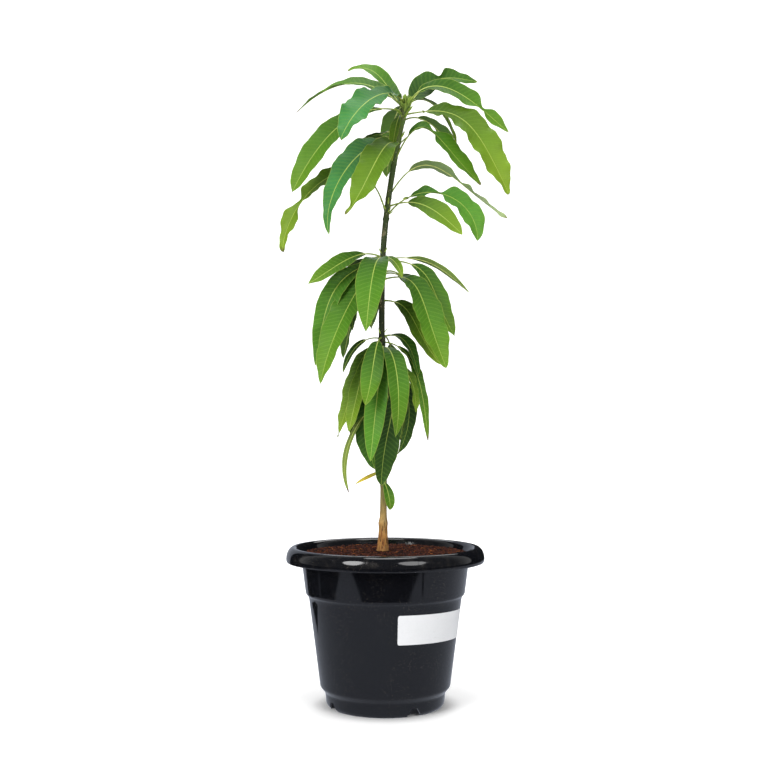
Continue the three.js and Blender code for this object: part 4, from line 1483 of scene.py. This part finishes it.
side = x.maths("ARCTAN2", x.also("Y") * -1.0) * (180 / math.pi)
left, right, onward = side * -1.0, side, reach - INNER_EDGE
inner = onward * INNER_SLOPE + INNER_FROM
left_board = past(left - inner) * past(onward * LEFT_SLOPE + LEFT_TO - left) + past(left - LEFT_AGAIN)
thin_board = strip(left, *THIN_BOARD) * THIN_LIGHT
dark_line = strip(right, *DARK_LINE) * fade(reach, LINE_FROM, LINE_FULL)
right_board = past(right - inner) * outside(dark_line)
disc = past(side * side * DISC_WIDENING + DISC_EDGE - reach, DISC_SOFT)
dark_wedge = past((reach - WEDGE_POINT) * WEDGE_SPREAD - (left - WEDGE_AT).maths("ABSOLUTE"))
dark_wedge = dark_wedge * past(left * -1.0 + WEDGE_END)
boards = (left_board + thin_board + right_board).maths("MAXIMUM", disc).maths("MINIMUM", 1.0)
boards = boards * outside(dark_wedge)
mirrored = add(place.tree, "ShaderNodeEmission", {
    "Color": BOARD_COLOUR, "Strength": boards * BOARD_LIGHT + DARK_LIGHT})
look = add(place.tree, "ShaderNodeMixShader", {
    0: rays.also("Is Glossy Ray"), 1: Wire(place.tree, shader.outputs[0]), 2: mirrored})
feed(place.tree, place.tree.nodes["Material Output"].inputs["Surface"], look)
print("floor material:", len(place.tree.nodes), "nodes")

# %% [markdown]
# ## Lights and room
# Large soft lights stand high at the left front, the right, overhead and behind, and the two in
# front draw the two highlights on the rim. They are oval, since a square lamp draws corners on a
# rolled rim. The camera sees a white room. The room's own light is dim and even, but glossy faces
# mirror it brighter towards the back, which lifts both ends of the rim.

# %% Hang the lights
LIGHTS = {
    "key": {"at": (-1.45, -1.80, 1.55), "size": (1.05, 1.35), "power": 36, "aim": (0, 0, 0.3)},
    "fill": {"at": (1.20, -1.90, 1.50), "size": (1.35, 1.2), "power": 20, "aim": (0, 0, 0.3)},
    "top": {"at": (0.1, -0.1, 2.6), "size": (1.6, 1.2), "power": 22, "aim": (0, 0, 0.5)},
    "back": {"at": (0.2, 1.9, 2.2), "size": (2.2, 1.0), "power": 14, "aim": (0, 0, 0.7)},
}
ROOM_SEEN, ROOM_LIGHT = 0.63, 0.42


def area_light(name, at, size, power, aim):
    """A soft oval lamp that faces the place it is aimed at."""
    light = bpy.data.lights.new(name, "AREA")
    light.shape = "ELLIPSE"
    light.size, light.size_y = size
    light.energy = power
    piece = placed(name, light)
    piece.location = at
    ahead = np.array(aim) - np.array(at)
    flat = math.hypot(ahead[0], ahead[1])
    piece.rotation_euler = (math.atan2(flat, -ahead[2]), 0, math.atan2(-ahead[0], ahead[1]))


for name, settings in LIGHTS.items():
    area_light(name, **settings)
world = bpy.data.worlds.new("room")
world.use_nodes = True
bpy.context.scene.world = world
tree = world.node_tree
tree.nodes.clear()
seen = add(tree, "ShaderNodeLightPath", out="Is Camera Ray")
ahead = parts_of(add(tree, "ShaderNodeTexCoord", out="Generated"))
dimmer = fade(ahead.also("Y"), -0.1, 0.5, 0.30, -0.25)
level = seen * ROOM_SEEN + ROOM_LIGHT - seen.also("Is Glossy Ray") * dimmer
glow = add(tree, "ShaderNodeBackground", {"Color": (1, 1, 1, 1), "Strength": level})
feed(tree, tree.nodes.new("ShaderNodeOutputWorld").inputs["Surface"], glow)
print("lights:", list(LIGHTS))

# %% [markdown]
# ## Measure and finish
# Last, the bounds of the looks are printed beside those of the solids. Last, the whole is
# compared with the solids: the looks may not reach far outside the true size.

# %% Measure and finish
looks_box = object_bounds()
for axis, name in enumerate("xyz"):
    print(name, "solids", round(cad_box[0][axis], 4), round(cad_box[1][axis], 4),
          "looks", round(looks_box[0][axis], 4), round(looks_box[1][axis], 4))
